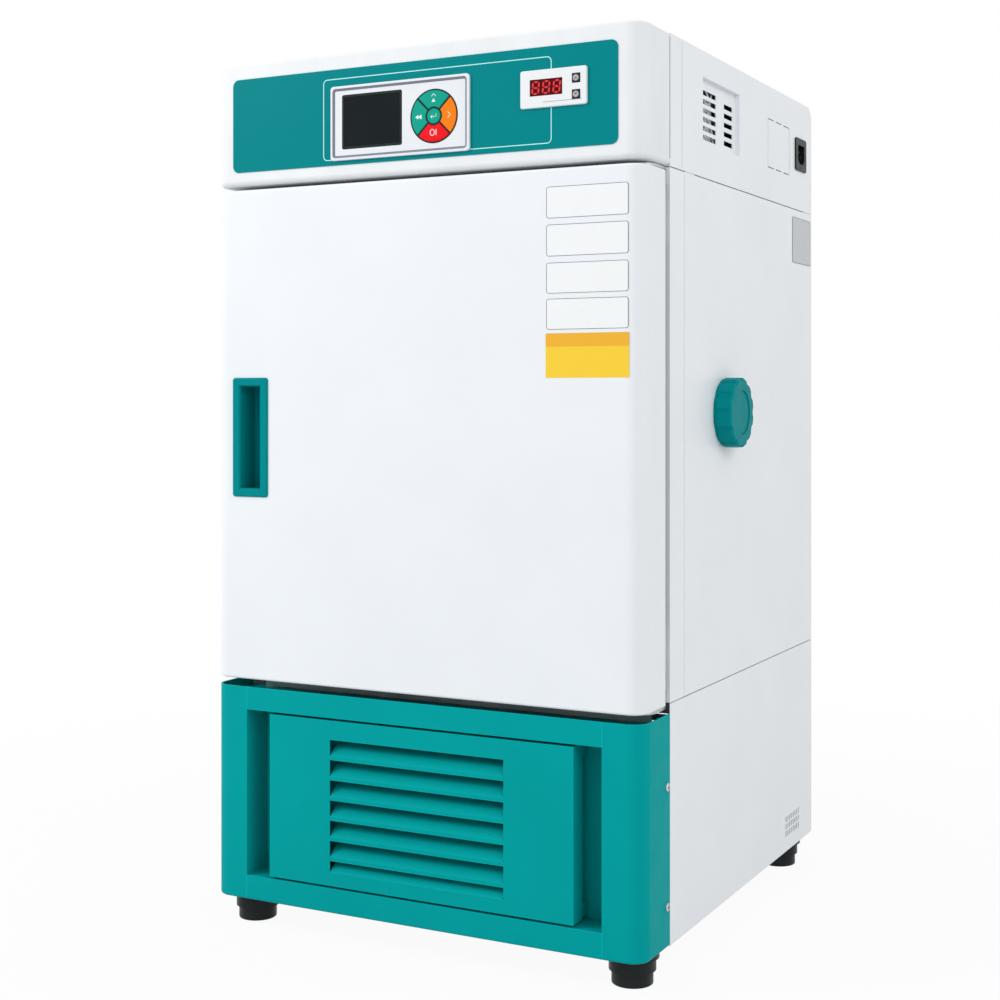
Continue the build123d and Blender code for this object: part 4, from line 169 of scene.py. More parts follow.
def painted(name, colour, rough=(0.3, 0.42), peel=700.0, depth=0.05, gloss=0.3, patch=0.97, edge=1.05):
    """Baked enamel or powder coat: orange peel, faint clouding and paler edges, partly paint wear and partly
    a painted highlight.
    """
    material, tree, shader, at = node_tree(name)
    cloud = noise(tree, at, 7.0, detail=5.0)
    body = blend(tree, ramp(tree, cloud, 0.0, 1.0), shade(colour, patch), colour)
    # Edges paler by the edge factor: partly paint wear, partly a painted highlight where lamps would catch
    # the edge.
    worn_and_highlit = blend(tree, edge_wear_and_highlight(tree, 1.2 * MM), body, shade(colour, edge))
    tree.links.new(worn_and_highlit, shader.inputs["Base Color"])
    tree.links.new(ramp(tree, noise(tree, at, 40.0), *rough), shader.inputs["Roughness"])
    bump(tree, shader, noise(tree, at, peel, detail=2.0), depth, 0.3 * MM)
    shader.inputs["Specular IOR Level"].default_value = gloss
    return material


def moulded(name, colour, rough=(0.38, 0.5), grain=1600.0, depth=0.12, patch=0.95, gloss=0.2):
    """Moulded plastic: fine spark-eroded grain and a slight flow mottle."""
    material, tree, shader, at = node_tree(name)
    flow = noise(tree, at, 22.0, detail=4.0, stretch=(1.0, 1.0, 0.4))
    tree.links.new(blend(tree, ramp(tree, flow, 0.0, 1.0), shade(colour, patch), colour),
                   shader.inputs["Base Color"])
    tree.links.new(ramp(tree, noise(tree, at, 60.0), *rough), shader.inputs["Roughness"])
    bump(tree, shader, noise(tree, at, grain, detail=1.0), depth, 0.15 * MM)
    shader.inputs["Specular IOR Level"].default_value = gloss
    return material


def metal(name, colour, rough=(0.22, 0.38), brush=(1.0, 1.0, 30.0), scale=60.0, depth=0.08, patch=0.85):
    """Brushed or rolled metal: long fine scratches along one axis and a cloudy oxide tone."""
    material, tree, shader, at = node_tree(name)
    cloud = noise(tree, at, 12.0, detail=4.0)
    tree.links.new(blend(tree, ramp(tree, cloud, 0.0, 1.0), shade(colour, patch), colour),
                   shader.inputs["Base Color"])
    shader.inputs["Metallic"].default_value = 1.0
    scratches = noise(tree, at, scale, detail=4.0, stretch=brush)
    tree.links.new(ramp(tree, scratches, *rough), shader.inputs["Roughness"])
    bump(tree, shader, scratches, depth, 0.1 * MM)
    return material


def glass_pane(name, tint):
    """Clear float glass with a faint tint and wiping marks."""
    material, tree, shader, at = node_tree(name)
    tree.links.new(blend(tree, noise(tree, at, 9.0), tint, shade(tint, 1.03)), shader.inputs["Base Color"])
    tree.links.new(ramp(tree, noise(tree, at, 14.0, stretch=(1.0, 1.0, 0.2)), 0.01, 0.06),
                   shader.inputs["Roughness"])
    shader.inputs["Transmission Weight"].default_value = 1.0
    shader.inputs["IOR"].default_value = 1.5
    return material


def rubber(name, colour):
    """Matt extruded rubber with a dusty bloom."""
    material, tree, shader, at = node_tree(name)
    bloom = noise(tree, at, 30.0, detail=6.0, roughness=0.7)
    tree.links.new(blend(tree, ramp(tree, bloom, 0.0, 1.0, 0.4, 0.75), colour, shade(colour, 1.5)),
                   shader.inputs["Base Color"])
    tree.links.new(ramp(tree, bloom, 0.6, 0.85), shader.inputs["Roughness"])
    bump(tree, shader, noise(tree, at, 900.0), 0.2, 0.2 * MM)
    return material


def printed(name, colour, rough=0.35, patch=0.96, grain=2200.0):
    """Thin printed film or ink with a slight paper or ink mottle."""
    material, tree, shader, at = node_tree(name)
    tree.links.new(blend(tree, noise(tree, at, 160.0), shade(colour, patch), colour),
                   shader.inputs["Base Color"])
    tree.links.new(ramp(tree, noise(tree, at, grain, detail=1.0), rough * 0.9, rough * 1.1),
                   shader.inputs["Roughness"])
    return material


def glowing(name, colour, strength):
    """Lit display segment behind tinted plastic."""
    material, tree, shader, at = node_tree(name)
    tone = blend(tree, noise(tree, at, 900.0), shade(colour, 0.85), colour)
    tree.links.new(tone, shader.inputs["Base Color"])
    tree.links.new(tone, shader.inputs["Emission Color"])
    shader.inputs["Emission Strength"].default_value = strength
    shader.inputs["Roughness"].default_value = 0.4
    return material


def silver_bezel(name, colour, slope_shade_colour):
    """Silver moulding whose slanted inner frame, inside the outer rim, is painted dark grey as the shade on
    the slope.
    """
    material, tree, shader, at = node_tree(name)
    # Faces turned away from the front, inside the rim, take the painted shade colour.
    tilt = maths(tree, "ABSOLUTE", parts_of(tree, shader_coords(tree, "Normal"))["Y"])
    shaded_slope = ramp(tree, tilt, 1.0, 0.0, 0.93, 0.99)
    spot = parts_of(tree, at)
    for axis, low, high in (("X", BEZEL_LOW.x, BEZEL_HIGH.x), ("Z", BEZEL_LOW.z, BEZEL_HIGH.z)):
        inside = maths(tree, "COMPARE", spot[axis], (low + high) / 2, (high - low) / 2 - RIM_WIDTH)
        shaded_slope = maths(tree, "MULTIPLY", shaded_slope, inside)
    tone = blend(tree, noise(tree, at, 30.0), shade(colour, 0.95), colour)
    tree.links.new(blend(tree, shaded_slope, tone, slope_shade_colour), shader.inputs["Base Color"])
    tree.links.new(ramp(tree, noise(tree, at, 60.0), 0.28, 0.4), shader.inputs["Roughness"])
    bump(tree, shader, noise(tree, at, 1600.0, detail=1.0), 0.05, 0.15 * MM)
    shader.inputs["Specular IOR Level"].default_value = 0.3
    return material


RIM_WIDTH = 1.5 * MM
WHITE = (0.84, 0.875, 0.905)
TEAL = (0.001, 0.35, 0.355)
TEAL_MOULDING = (0.001, 0.25, 0.265)
TEAL_SHEET = (0.001, 0.235, 0.25)

finishes = {
    "white_paint": painted("white_paint", WHITE),
    # The teal paint's edges are made half as pale again, a painted highlight along the base's rounded
    # corners and edges.
    "teal_paint": painted("teal_paint", TEAL, rough=(0.34, 0.46), depth=0.06, gloss=0.02, patch=0.93,
                          edge=1.5),
    "white_moulding": moulded("white_moulding", (0.83, 0.86, 0.88)),
    "teal_plastic": moulded("teal_plastic", TEAL_MOULDING, rough=(0.3, 0.42), gloss=0.02),
    "teal_panel": painted("teal_panel", TEAL_SHEET, rough=(0.32, 0.4), peel=1400.0, depth=0.02, gloss=0.03,
                          edge=1.2),
    # The dark grey is painted shade on the bezel's slanted inner frame.
    "silver_plastic": silver_bezel("silver_plastic", (0.8, 0.83, 0.87), (0.2, 0.22, 0.27)),
    "black_plastic": moulded("black_plastic", (0.012, 0.015, 0.016), rough=(0.32, 0.45), gloss=0.15),
    "display_black": painted("display_black", (0.011, 0.016, 0.018), rough=(0.12, 0.2), peel=300.0,
                             depth=0.01, gloss=0.06, patch=0.8, edge=1.3),
    "key_green": moulded("key_green", (0.0, 0.36, 0.26), rough=(0.3, 0.4), gloss=0.1),
    "key_orange": moulded("key_orange", (0.95, 0.22, 0.004), rough=(0.3, 0.4), gloss=0.1),
    "key_red": moulded("key_red", (0.86, 0.006, 0.012), rough=(0.3, 0.4), gloss=0.1),
    "stainless": metal("stainless", (0.68, 0.68, 0.67)),
    "zinc_steel": metal("zinc_steel", (0.62, 0.63, 0.64), rough=(0.35, 0.5), brush=(1.0, 1.0, 1.0),
                        scale=35.0, depth=0.05, patch=0.7),
    "fin_aluminium": metal("fin_aluminium", (0.78, 0.79, 0.8), rough=(0.3, 0.45), patch=0.8),
    "copper_pipe": metal("copper_pipe", (0.72, 0.36, 0.2), rough=(0.25, 0.42), patch=0.7),
    "compressor_black": painted("compressor_black", (0.012, 0.012, 0.013), rough=(0.25, 0.4), edge=1.8),
    "gasket_rubber": rubber("gasket_rubber", (0.045, 0.055, 0.065)),
    "foam_core": printed("foam_core", (0.72, 0.64, 0.44), rough=0.85, patch=0.8),
    "inner_glass": glass_pane("inner_glass", (0.93, 0.97, 0.96)),
    "board_green": painted("board_green", (0.01, 0.13, 0.05), rough=(0.25, 0.4), edge=1.6),
}

for part in frame["record"]["subparts"]:
    mesh = nodes[part["node"]].data
    mesh.materials.clear()
    mesh.materials.append(finishes[part["material_slot"]])


# Shapes


def x_at(across):
    """X of a distance in millimetres from the cabinet's left side."""
    return LEFT + across * MM


def y_at(depth):
    """Y of a distance in millimetres behind the door's front."""
    return FRONT + depth * MM


def z_at(height):
    """Z of a height in millimetres above the underside of the base."""
    return BASE_UNDERSIDE + height * MM


def place_front(u, v, out, origin):
    """Point of a front-facing drawing: u to the right, v up, out towards the viewer."""
    return Vector((origin[0] + u, origin[1] - out, origin[2] + v))


def place_right(u, v, out, origin):
    """Point of a drawing on the right side: u to the back, v up, out to the right."""
    return Vector((origin[0] + out, origin[1] + u, origin[2] + v))


def rounded(width, height, radius, steps=6):
    """Rounded rectangle about the origin as a list of points."""
    points = []
    for cx, cy, start in ((1, 1, 0), (-1, 1, 90), (-1, -1, 180), (1, -1, 270)):
        for step in range(steps + 1):
            angle = math.radians(start + 90 * step / steps)
            points.append((cx * (width / 2 - radius) + radius * math.cos(angle),
                           cy * (height / 2 - radius) + radius * math.sin(angle)))
    return points


def disc(radius, steps=48):
    """Circle about the origin as a list of points."""
    return [(radius * math.cos(2 * math.pi * n / steps), radius * math.sin(2 * math.pi * n / steps))
            for n in range(steps)]


def mesh_object(name, mesh):
    """Scene object made from an edited mesh."""
    data = bpy.data.meshes.new(name)
    mesh.to_mesh(data)
    mesh.free()
    obj = bpy.data.objects.new(name, data)
    bpy.context.scene.collection.objects.link(obj)
    return obj


def finish_piece(obj, material, body):
    """Give a new piece its material and let it ride on a body."""
    obj.data.materials.append(finishes[material])
    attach(obj, body)
    return obj


def slab(name, outer, origin, thickness, material, body, place=place_front, inner=None, edge=0.0):
    """Flat piece from an outline, with a hole if asked, its edges softened if asked."""
    mesh = bmesh.new()
    loops = [outer] if inner is None else [outer, inner]
    rings = [[mesh.verts.new(place(u, v, 0.0, origin)) for u, v in loop] for loop in loops]
    if inner is None:
        faces = [mesh.faces.new(rings[0])]
    else:
        count = len(outer)
        faces = [mesh.faces.new((rings[0][n], rings[0][(n + 1) % count],
                                 rings[1][(n + 1) % count], rings[1][n])) for n in range(count)]
    lifted = bmesh.ops.extrude_face_region(mesh, geom=faces)
    moved = [item for item in lifted["geom"] if isinstance(item, bmesh.types.BMVert)]
    shift = place(0, 0, thickness, origin) - place(0, 0, 0, origin)
    bmesh.ops.translate(mesh, verts=moved, vec=shift)
    bmesh.ops.recalc_face_normals(mesh, faces=mesh.faces)
    obj = mesh_object(name, mesh)
    if edge:
        bevel = obj.modifiers.new("edge", "BEVEL")
        bevel.width = edge
        bevel.segments = 2
        bevel.limit_method = "ANGLE"
        bevel.angle_limit = math.radians(40)
    return finish_piece(obj, material, body)


def shifted(points, du, dv):
    """Outline moved within its own plane."""
    return [(u + du, v + dv) for u, v in points]


def stroke(name, runs, origin, width, material, body, place=place_front):
    """Drawn line of round section along one or more runs of points, half sunk in the surface."""
    curve = bpy.data.curves.new(name, "CURVE")
    curve.dimensions = "3D"
    curve.bevel_depth = width / 2
    curve.bevel_resolution = 2
    curve.use_fill_caps = True
    for points in runs:
        closed = points[0] == points[-1] and len(points) > 2
        kept = points[:-1] if closed else points
        spline = curve.splines.new("POLY")
        spline.points.add(len(kept) - 1)
        for target, (u, v) in zip(spline.points, kept):
            target.co = (*place(u, v, 0.0, origin), 1.0)
        spline.use_cyclic_u = closed
    obj = bpy.data.objects.new(name, curve)
    bpy.context.scene.collection.objects.link(obj)
    return finish_piece(obj, material, body)


def dome(name, radius, height, origin, material, body, dish=0.0):
    """Turned button with a soft shoulder and a slightly dished or crowned top."""
    mesh = bmesh.new()
    profile = [(radius, 0.0), (radius, height * 0.55), (radius * 0.93, height * 0.9),
               (radius * 0.82, height), (radius * 0.45, height - dish * 0.6), (0.0, height - dish)]
    points = [mesh.verts.new(place_front(u, 0.0, v, origin)) for u, v in profile]
    edges = [mesh.edges.new((points[n], points[n + 1])) for n in range(len(points) - 1)]
    bmesh.ops.spin(mesh, geom=points + edges, cent=origin, axis=(0, 1, 0), angle=2 * math.pi, steps=40)
    bmesh.ops.remove_doubles(mesh, verts=mesh.verts, dist=0.01 * MM)
    bmesh.ops.recalc_face_normals(mesh, faces=mesh.faces)
    obj = mesh_object(name, mesh)
    obj.data.shade_smooth()
    return finish_piece(obj, material, body)


# Console

finishes.update({
    "mark_pale": printed("mark_pale", (0.5, 0.9, 0.9), rough=0.4),
    "mark_white": printed("mark_white", (0.9, 0.92, 0.9), rough=0.4),
    "mark_yellow": printed("mark_yellow", (0.95, 0.88, 0.5), rough=0.4),
    "mark_grey": printed("mark_grey", (0.35, 0.36, 0.37), rough=0.5),
    "display_rim": painted("display_rim", (0.016, 0.024, 0.026), rough=(0.2, 0.3), depth=0.01, gloss=0.12),
    "led_window": painted("led_window", (0.1, 0.003, 0.006), rough=(0.12, 0.2), depth=0.01, gloss=0.05),
    "led_lit": glowing("led_lit", (0.66, 0.004, 0.01), 0.16),
    "knob_grey": moulded("knob_grey", (0.42, 0.43, 0.44)),
    "label_white": printed("label_white", (0.88, 0.9, 0.91), rough=0.32),
    "label_edge": printed("label_edge", (0.05, 0.055, 0.06), rough=0.4),
    "label_yellow": printed("label_yellow", (0.93, 0.62, 0.02), rough=0.34),
    "label_header": printed("label_header", (0.86, 0.44, 0.01), rough=0.34),
    "plate_grey": printed("plate_grey", (0.5, 0.52, 0.55), rough=0.28),
    # The dark finish is painted shade in screw recesses, seams, the door gap and the base trough, and also
    # the ink of the thermostat cap marks; the grey finish is painted shade in grooves and folds.
    "shade_and_mark_dark": rubber("shade_and_mark_dark", (0.02, 0.024, 0.028)),
    "groove_shade_grey": printed("groove_shade_grey", (0.42, 0.45, 0.49), rough=0.4),
    "wire_white": moulded("wire_white", (0.72, 0.74, 0.77), rough=(0.35, 0.45)),
})

# Pale outline printed on the coloured panel; the two modules hide part of it.
OUTLINE_X = (x_at(155.2), x_at(445.2))
OUTLINE_Z = (z_at(861.3), z_at(954.4))
OUTLINE_RADIUS = 5.5 * MM
OUTLINE_WIDTH = 1.0 * MM
outline_size = (OUTLINE_X[1] - OUTLINE_X[0], OUTLINE_Z[1] - OUTLINE_Z[0])
outline_centre = ((OUTLINE_X[0] + OUTLINE_X[1]) / 2, PANEL_FRONT, (OUTLINE_Z[0] + OUTLINE_Z[1]) / 2)
slab("panel_outline", rounded(*outline_size, OUTLINE_RADIUS), outline_centre, LIFT, "mark_pale", "cabinet",
     inner=rounded(outline_size[0] - 2 * OUTLINE_WIDTH, outline_size[1] - 2 * OUTLINE_WIDTH,
                                 OUTLINE_RADIUS - OUTLINE_WIDTH))

# Marks on the round keypad
KEY_MARK = 0.9 * MM


def key_front(node):
    """Centre of a key's front face."""
    low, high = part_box(node)
    return ((low.x + high.x) / 2, low.y, (low.z + high.z) / 2)


def turned(points, angle, du=0.0, dv=0.0):
    """Points turned by an angle in degrees and then moved."""
    turn = math.radians(angle)
    return [(du + u * math.cos(turn) - v * math.sin(turn), dv + u * math.sin(turn) + v * math.cos(turn))
            for u, v in points]


def chevron(du, dv, reach, angle):
    """Open arrowhead with its tip at a point, pointing along an angle in degrees."""
    return turned([(-reach, reach), (0.0, 0.0), (-reach, -reach)], angle, du, dv)


def arrowhead(reach, angle):
    """Solid triangle pointing along an angle in degrees."""
    return turned([(reach, 0.0), (-reach * 0.6, reach), (-reach * 0.6, -reach)], angle)


# Up key: a chevron over a solid arrow
UP_CHEVRON_RISE, UP_CHEVRON_REACH = 6.2 * MM, 2.6 * MM
UP_ARROW_DROP, UP_ARROW_REACH = 1.2 * MM, 2.4 * MM
up = key_front("key_up")
stroke("key_up_chevron", [chevron(0, UP_CHEVRON_RISE, UP_CHEVRON_REACH, 90)], up, KEY_MARK, "mark_white",
       "key_up")
slab("key_up_arrow", shifted(arrowhead(UP_ARROW_REACH, 90), 0, -UP_ARROW_DROP), up, DOUBLE_LIFT,
     "mark_white", "key_up")

# Left key: two solid arrows; right key: one chevron
LEFT_ARROWS = {"a": -2.6 * MM, "b": 1.4 * MM}
LEFT_ARROW_REACH = 2.6 * MM
RIGHT_CHEVRON_SHIFT, RIGHT_CHEVRON_REACH = 3.0 * MM, 3.4 * MM
for suffix, across in LEFT_ARROWS.items():
    slab("key_left_arrow_" + suffix, shifted(arrowhead(LEFT_ARROW_REACH, 180), across, 0),
         key_front("key_left"), DOUBLE_LIFT, "mark_white", "key_left")
stroke("key_right_chevron", [chevron(RIGHT_CHEVRON_SHIFT, 0, RIGHT_CHEVRON_REACH, 0)],
       key_front("key_right"), KEY_MARK * 1.2, "mark_yellow", "key_right")

# Power key: a tall ring and a bar beside it
RING_RADIUS, RING_SHIFT, RING_STRETCH = 2.7 * MM, 1.6 * MM, 1.25
BAR_SHIFT, BAR_REACH = 3.2 * MM, 3.4 * MM
ring = [(u - RING_SHIFT, v * RING_STRETCH) for u, v in disc(RING_RADIUS, 28)]
bar = [(BAR_SHIFT, BAR_REACH), (BAR_SHIFT, -BAR_REACH)]
stroke("key_power_mark", [ring + ring[:1], bar], key_front("key_power"), KEY_MARK, "mark_white", "key_power")

# Enter key: a return arrow
HOOK_REACH, HOOK_TOP, HOOK_FOOT = 3.2 * MM, 2.4 * MM, -0.8 * MM
HOOK_TIP, HOOK_HEAD = -3.4 * MM, 1.8 * MM
hook = [(HOOK_REACH, HOOK_TOP), (HOOK_REACH, HOOK_FOOT), (-HOOK_REACH, HOOK_FOOT)]
stroke("key_enter_mark", [hook, chevron(HOOK_TIP, HOOK_FOOT, HOOK_HEAD, 180)], key_front("key_enter"),
       KEY_MARK * 0.9, "mark_white", "key_enter")

# Display: dark frame and slightly darker glass
DISPLAY_LOW, DISPLAY_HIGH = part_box("display_window")
DISPLAY_FRAME = 3.0 * MM
display_size = (DISPLAY_HIGH.x - DISPLAY_LOW.x, DISPLAY_HIGH.z - DISPLAY_LOW.z)
display_centre = ((DISPLAY_LOW.x + DISPLAY_HIGH.x) / 2, DISPLAY_LOW.y, (DISPLAY_LOW.z + DISPLAY_HIGH.z) / 2)
glass_outline = rounded(display_size[0] - 2 * DISPLAY_FRAME, display_size[1] - 2 * DISPLAY_FRAME, 1.2 * MM)
slab("display_frame", rounded(*display_size, 2.5 * MM), display_centre, 0.5 * MM, "display_rim", "cabinet",
     inner=glass_outline, edge=0.25 * MM)

# Thermostat: lit digits in a dark red window
DIGIT_COUNT = 3
SEGMENTS = "abcdefg"
WINDOW_LEFT, WINDOW_TOP = 11.5 * MM, 10.3 * MM
WINDOW_WIDTH, WINDOW_HEIGHT, WINDOW_SET = 38.6 * MM, 17.8 * MM, 1.0 * MM
THERMO_PLATE = THERMO_LOW.y
window_centre = (THERMO_LOW.x + WINDOW_LEFT + WINDOW_WIDTH / 2, THERMO_PLATE + WINDOW_SET,
                 THERMO_HIGH.z - WINDOW_TOP - WINDOW_HEIGHT / 2)
slab("led_window", rounded(WINDOW_WIDTH, WINDOW_HEIGHT, 0.6 * MM), window_centre, 0.4 * MM, "led_window",
     "cabinet", edge=0.1 * MM)
DIGIT_WIDTH, DIGIT_HEIGHT, DIGIT_BAR, DIGIT_LEAN = 7.2 * MM, 12.6 * MM, 2.1 * MM, 0.09
DIGIT_PITCH = WINDOW_WIDTH / 3.1


def segment(letter):
    """Corners of one bar of a seven-segment digit, about the digit's centre."""
    half_u, half_v, bar_half = DIGIT_WIDTH / 2, DIGIT_HEIGHT / 2, DIGIT_BAR / 2
    flat = {"a": half_v, "g": 0.0, "d": -half_v}
    upright = {"b": (half_u, 1), "c": (half_u, -1), "f": (-half_u, 1), "e": (-half_u, -1)}
    if letter in flat:
        v, reach = flat[letter], half_u - bar_half * 1.2
        shape = [(-reach, v), (-reach + bar_half, v + bar_half), (reach - bar_half, v + bar_half),
                 (reach, v), (reach - bar_half, v - bar_half), (-reach + bar_half, v - bar_half)]
    else:
        u, sign = upright[letter]
        reach = half_v / 2 - bar_half * 0.2
        mid = sign * half_v / 2
        low, high = mid - reach, mid + reach
        shape = [(u, low), (u + bar_half, low + bar_half), (u + bar_half, high - bar_half),
                 (u, high), (u - bar_half, high - bar_half), (u - bar_half, low + bar_half)]
    return [(u + v * DIGIT_LEAN, v) for u, v in shape]


digit_origin = (window_centre[0], window_centre[1] - 0.4 * MM, window_centre[2])
for index in range(DIGIT_COUNT):
    offset = (index - 1) * DIGIT_PITCH
    for letter in SEGMENTS:
        slab(f"led_digit_{index}_{letter}", shifted(segment(letter), offset, 0), digit_origin, LIFT,
             "led_lit", "cabinet")

# Round grey caps on the thermostat's two keys, and a thin grey line printed under its window
CAP_RADIUS, CAP_HEIGHT, CAP_DISH = 3.4 * MM, 0.7 * MM, 0.3 * MM
CAP_MARK_REACH, CAP_MARK_OUT, CAP_MARK_WIDTH = 1.3 * MM, 0.5 * MM, 0.7 * MM
for node, angle in (("thermostat_key_upper", 90), ("thermostat_key_lower", 270)):
    face = key_front(node)
    dome(node + "_cap", CAP_RADIUS, CAP_HEIGHT, face, "knob_grey", node, dish=CAP_DISH)
    stroke(node + "_mark", [chevron(0, 0, CAP_MARK_REACH, angle)],
           (face[0], face[1] - CAP_MARK_OUT, face[2]), CAP_MARK_WIDTH, "shade_and_mark_dark", node)
LINE_LENGTH, LINE_WIDTH = 45.0 * MM, 0.6 * MM
LINE_ACROSS, LINE_RISE = 50.0 * MM, 5.6 * MM
line = rounded(LINE_LENGTH, LINE_WIDTH, 0.28 * MM, 2)
slab("thermostat_mark", shifted(line, LINE_ACROSS, LINE_RISE), (THERMO_LOW.x, THERMO_PLATE, THERMO_LOW.z),
     LIFT, "mark_grey", "cabinet")

# Blank labels on the door and the blank plate on the right side: places in millimetres above the base
LABEL_LEFT, LABEL_RIGHT, LABEL_RADIUS = 438.6, 533.4, 3.0 * MM
WHITE_LABELS = {"label_first": (781.5, 815.2), "label_second": (741.0, 774.7),
                "label_third": (701.4, 734.1), "label_fourth": (662.9, 695.7)}
YELLOW_WIDTH, YELLOW_LOW, HEADER_LOW, YELLOW_HIGH = 96.5 * MM, 611.4, 644.7, 658.9
PLATE_WIDTH, PLATE_HEIGHT, PLATE_Y, PLATE_Z = 80.2 * MM, 60.2 * MM, 553.8, 798.8
BORDER = 0.5 * MM


def border(width, height, radius):
    """Inner outline of a thin border just inside a rounded rectangle."""
    return rounded(width - 2 * BORDER, height - 2 * BORDER, radius - BORDER)


label_width = (LABEL_RIGHT - LABEL_LEFT) * MM
label_x = x_at((LABEL_LEFT + LABEL_RIGHT) / 2)
for name, (low, high) in WHITE_LABELS.items():
    height = (high - low) * MM
    centre = (label_x, FRONT, z_at((low + high) / 2))
    outline = rounded(label_width, height, LABEL_RADIUS)
    slab(name, outline, centre, LIFT, "label_white", "door")
    slab(name + "_border", outline, centre, OVER_LIFT, "label_edge", "door",
         inner=border(label_width, height, LABEL_RADIUS))
YELLOW_BANDS = {"label_yellow": ("label_yellow", YELLOW_LOW, LIFT),
                "label_yellow_header": ("label_header", HEADER_LOW, OVER_LIFT)}
for name, (material, low, lift) in YELLOW_BANDS.items():
    centre = (label_x, FRONT, z_at((low + YELLOW_HIGH) / 2))
    slab(name, rounded(YELLOW_WIDTH, (YELLOW_HIGH - low) * MM, 1.5 * MM), centre, lift, material, "door")
plate_centre = (WRAP_HIGH.x, y_at(PLATE_Y), z_at(PLATE_Z))
plate_outline = rounded(PLATE_WIDTH, PLATE_HEIGHT, 2.5 * MM)
slab("rating_plate", plate_outline, plate_centre, LIFT * 3, "plate_grey", "cabinet",
     place=place_right)
slab("rating_plate_border", plate_outline, plate_centre, LIFT * 4, "label_edge", "cabinet",
     place=place_right, inner=border(PLATE_WIDTH, PLATE_HEIGHT, 2.5 * MM))

# Grey lines on the folded sides of the knockout beside the mains inlet, painted shade on the folds
KNOCKOUT_Y, KNOCKOUT_WIDTH = 411.7, 88.5
KNOCKOUT_LOW, KNOCKOUT_HIGH = 881.0, 943.0
fold = rounded(0.7 * MM, (KNOCKOUT_HIGH - KNOCKOUT_LOW) * MM, 0.3 * MM, 2)
for name, depth in (("front", KNOCKOUT_Y), ("rear", KNOCKOUT_Y + KNOCKOUT_WIDTH)):
    middle = (COVER_HIGH.x, y_at(depth), z_at((KNOCKOUT_LOW + KNOCKOUT_HIGH) / 2))
    slab("knockout_fold_" + name, fold, middle, LIFT, "groove_shade_grey", "cabinet",
         place=place_right)

# Pale wiring and a bracket behind the wide column of the side vent
VENT_Y, VENT_LOW = 188.0, 885.0
VENT_BACK = COVER_HIGH.x - 15 * MM
BRACKET_Y, BRACKET_RISE = 37.0, 27.0
WIRE_RADIUS, WIRE_OUT = 1.3 * MM, 4.0 * MM
# Points along each wire: millimetres to the back and up from the vent's lower front corner
WIRES = {
    "vent_wire_a": ((2, 4), (14, 22), (30, 30), (46, 22), (52, 2)),
    "vent_wire_b": ((8, 60), (20, 46), (34, 44), (44, 54), (50, 66)),
    "vent_wire_c": ((18, 6), (24, 26), (40, 40), (36, 56), (22, 62)),
}


def wire(name, run, origin):
    """Round wire drawn as a smooth curve through its points."""
    curve = bpy.data.curves.new(name, "CURVE")
    curve.dimensions = "3D"
    curve.bevel_depth = WIRE_RADIUS
    spline = curve.splines.new("NURBS")
    spline.points.add(len(run) - 1)
    for target, (along, rise) in zip(spline.points, run):
        target.co = (*place_right(along * MM, rise * MM, WIRE_OUT, origin), 1.0)
    spline.order_u = 3
    spline.use_endpoint_u = True
    obj = bpy.data.objects.new(name, curve)
    bpy.context.scene.collection.objects.link(obj)
    return finish_piece(obj, "wire_white", "cabinet")


slab("vent_bracket", rounded(30 * MM, 54 * MM, 3 * MM),
     (VENT_BACK, y_at(VENT_Y + BRACKET_Y), z_at(VENT_LOW + BRACKET_RISE)), 2 * MM, "wire_white", "cabinet",
     place=place_right, edge=0.6 * MM)
for name, run in WIRES.items():
    wire(name, run, (VENT_BACK, y_at(VENT_Y), z_at(VENT_LOW)))

# Cross recesses in the frame screws, drawn as dark flat crosses: painted shade in the recesses
SCREW_HEIGHTS = (44.5, 173.0)
SCREW_Y = 66.0
SCREW_HEAD = 2.4 * MM
CROSS_LENGTH, CROSS_WIDTH = 5.0 * MM, 0.9 * MM
for side, face_x in (("right", RIGHT + SCREW_HEAD - LIFT), ("left", LEFT - SCREW_HEAD)):
    for number, height in enumerate(SCREW_HEIGHTS):
        for turn, size in (("a", (CROSS_LENGTH, CROSS_WIDTH)), ("b", (CROSS_WIDTH, CROSS_LENGTH))):
            slab(f"screw_slot_{side}_{number}_{turn}", rounded(*size, 0.4 * MM, 2),
                 (face_x, y_at(SCREW_Y), z_at(height)), DOUBLE_LIFT, "shade_and_mark_dark", "cabinet",
                 place=place_right)

# Dark and grey lines painted on both sides as the shade in the seams and grooves: depth and width in
# millimetres, then the line's ends and its finish
STRIP_FRONT, CONSOLE_GROOVE, BODY_GROOVE = 75.0, 111.0, 118.0
SEAM_SHADE_LINES = {
    "seam_console_front": (STRIP_FRONT, 1.3, FASCIA_LOW.z + 8 * MM, FASCIA_HIGH.z - 4 * MM, "shade_and_mark_dark"),
    "seam_console_strip": (CONSOLE_GROOVE, 0.6, COVER_LOW.z + 3 * MM, COVER_HIGH.z - 4 * MM, "groove_shade_grey"),
    "seam_body_strip": (BODY_GROOVE, 0.6, WRAP_LOW.z + 3 * MM, WRAP_HIGH.z - 3 * MM, "groove_shade_grey"),
}
for name, (depth, width, low, high, material) in SEAM_SHADE_LINES.items():
    for side, plane in (("right", RIGHT), ("left", LEFT - LIFT)):
        slab(f"{name}_{side}", rounded(width * MM, high - low, 0.25 * MM, 2),
             (plane, y_at(depth), (low + high) / 2), LIFT, material, "cabinet",
             place=place_right)

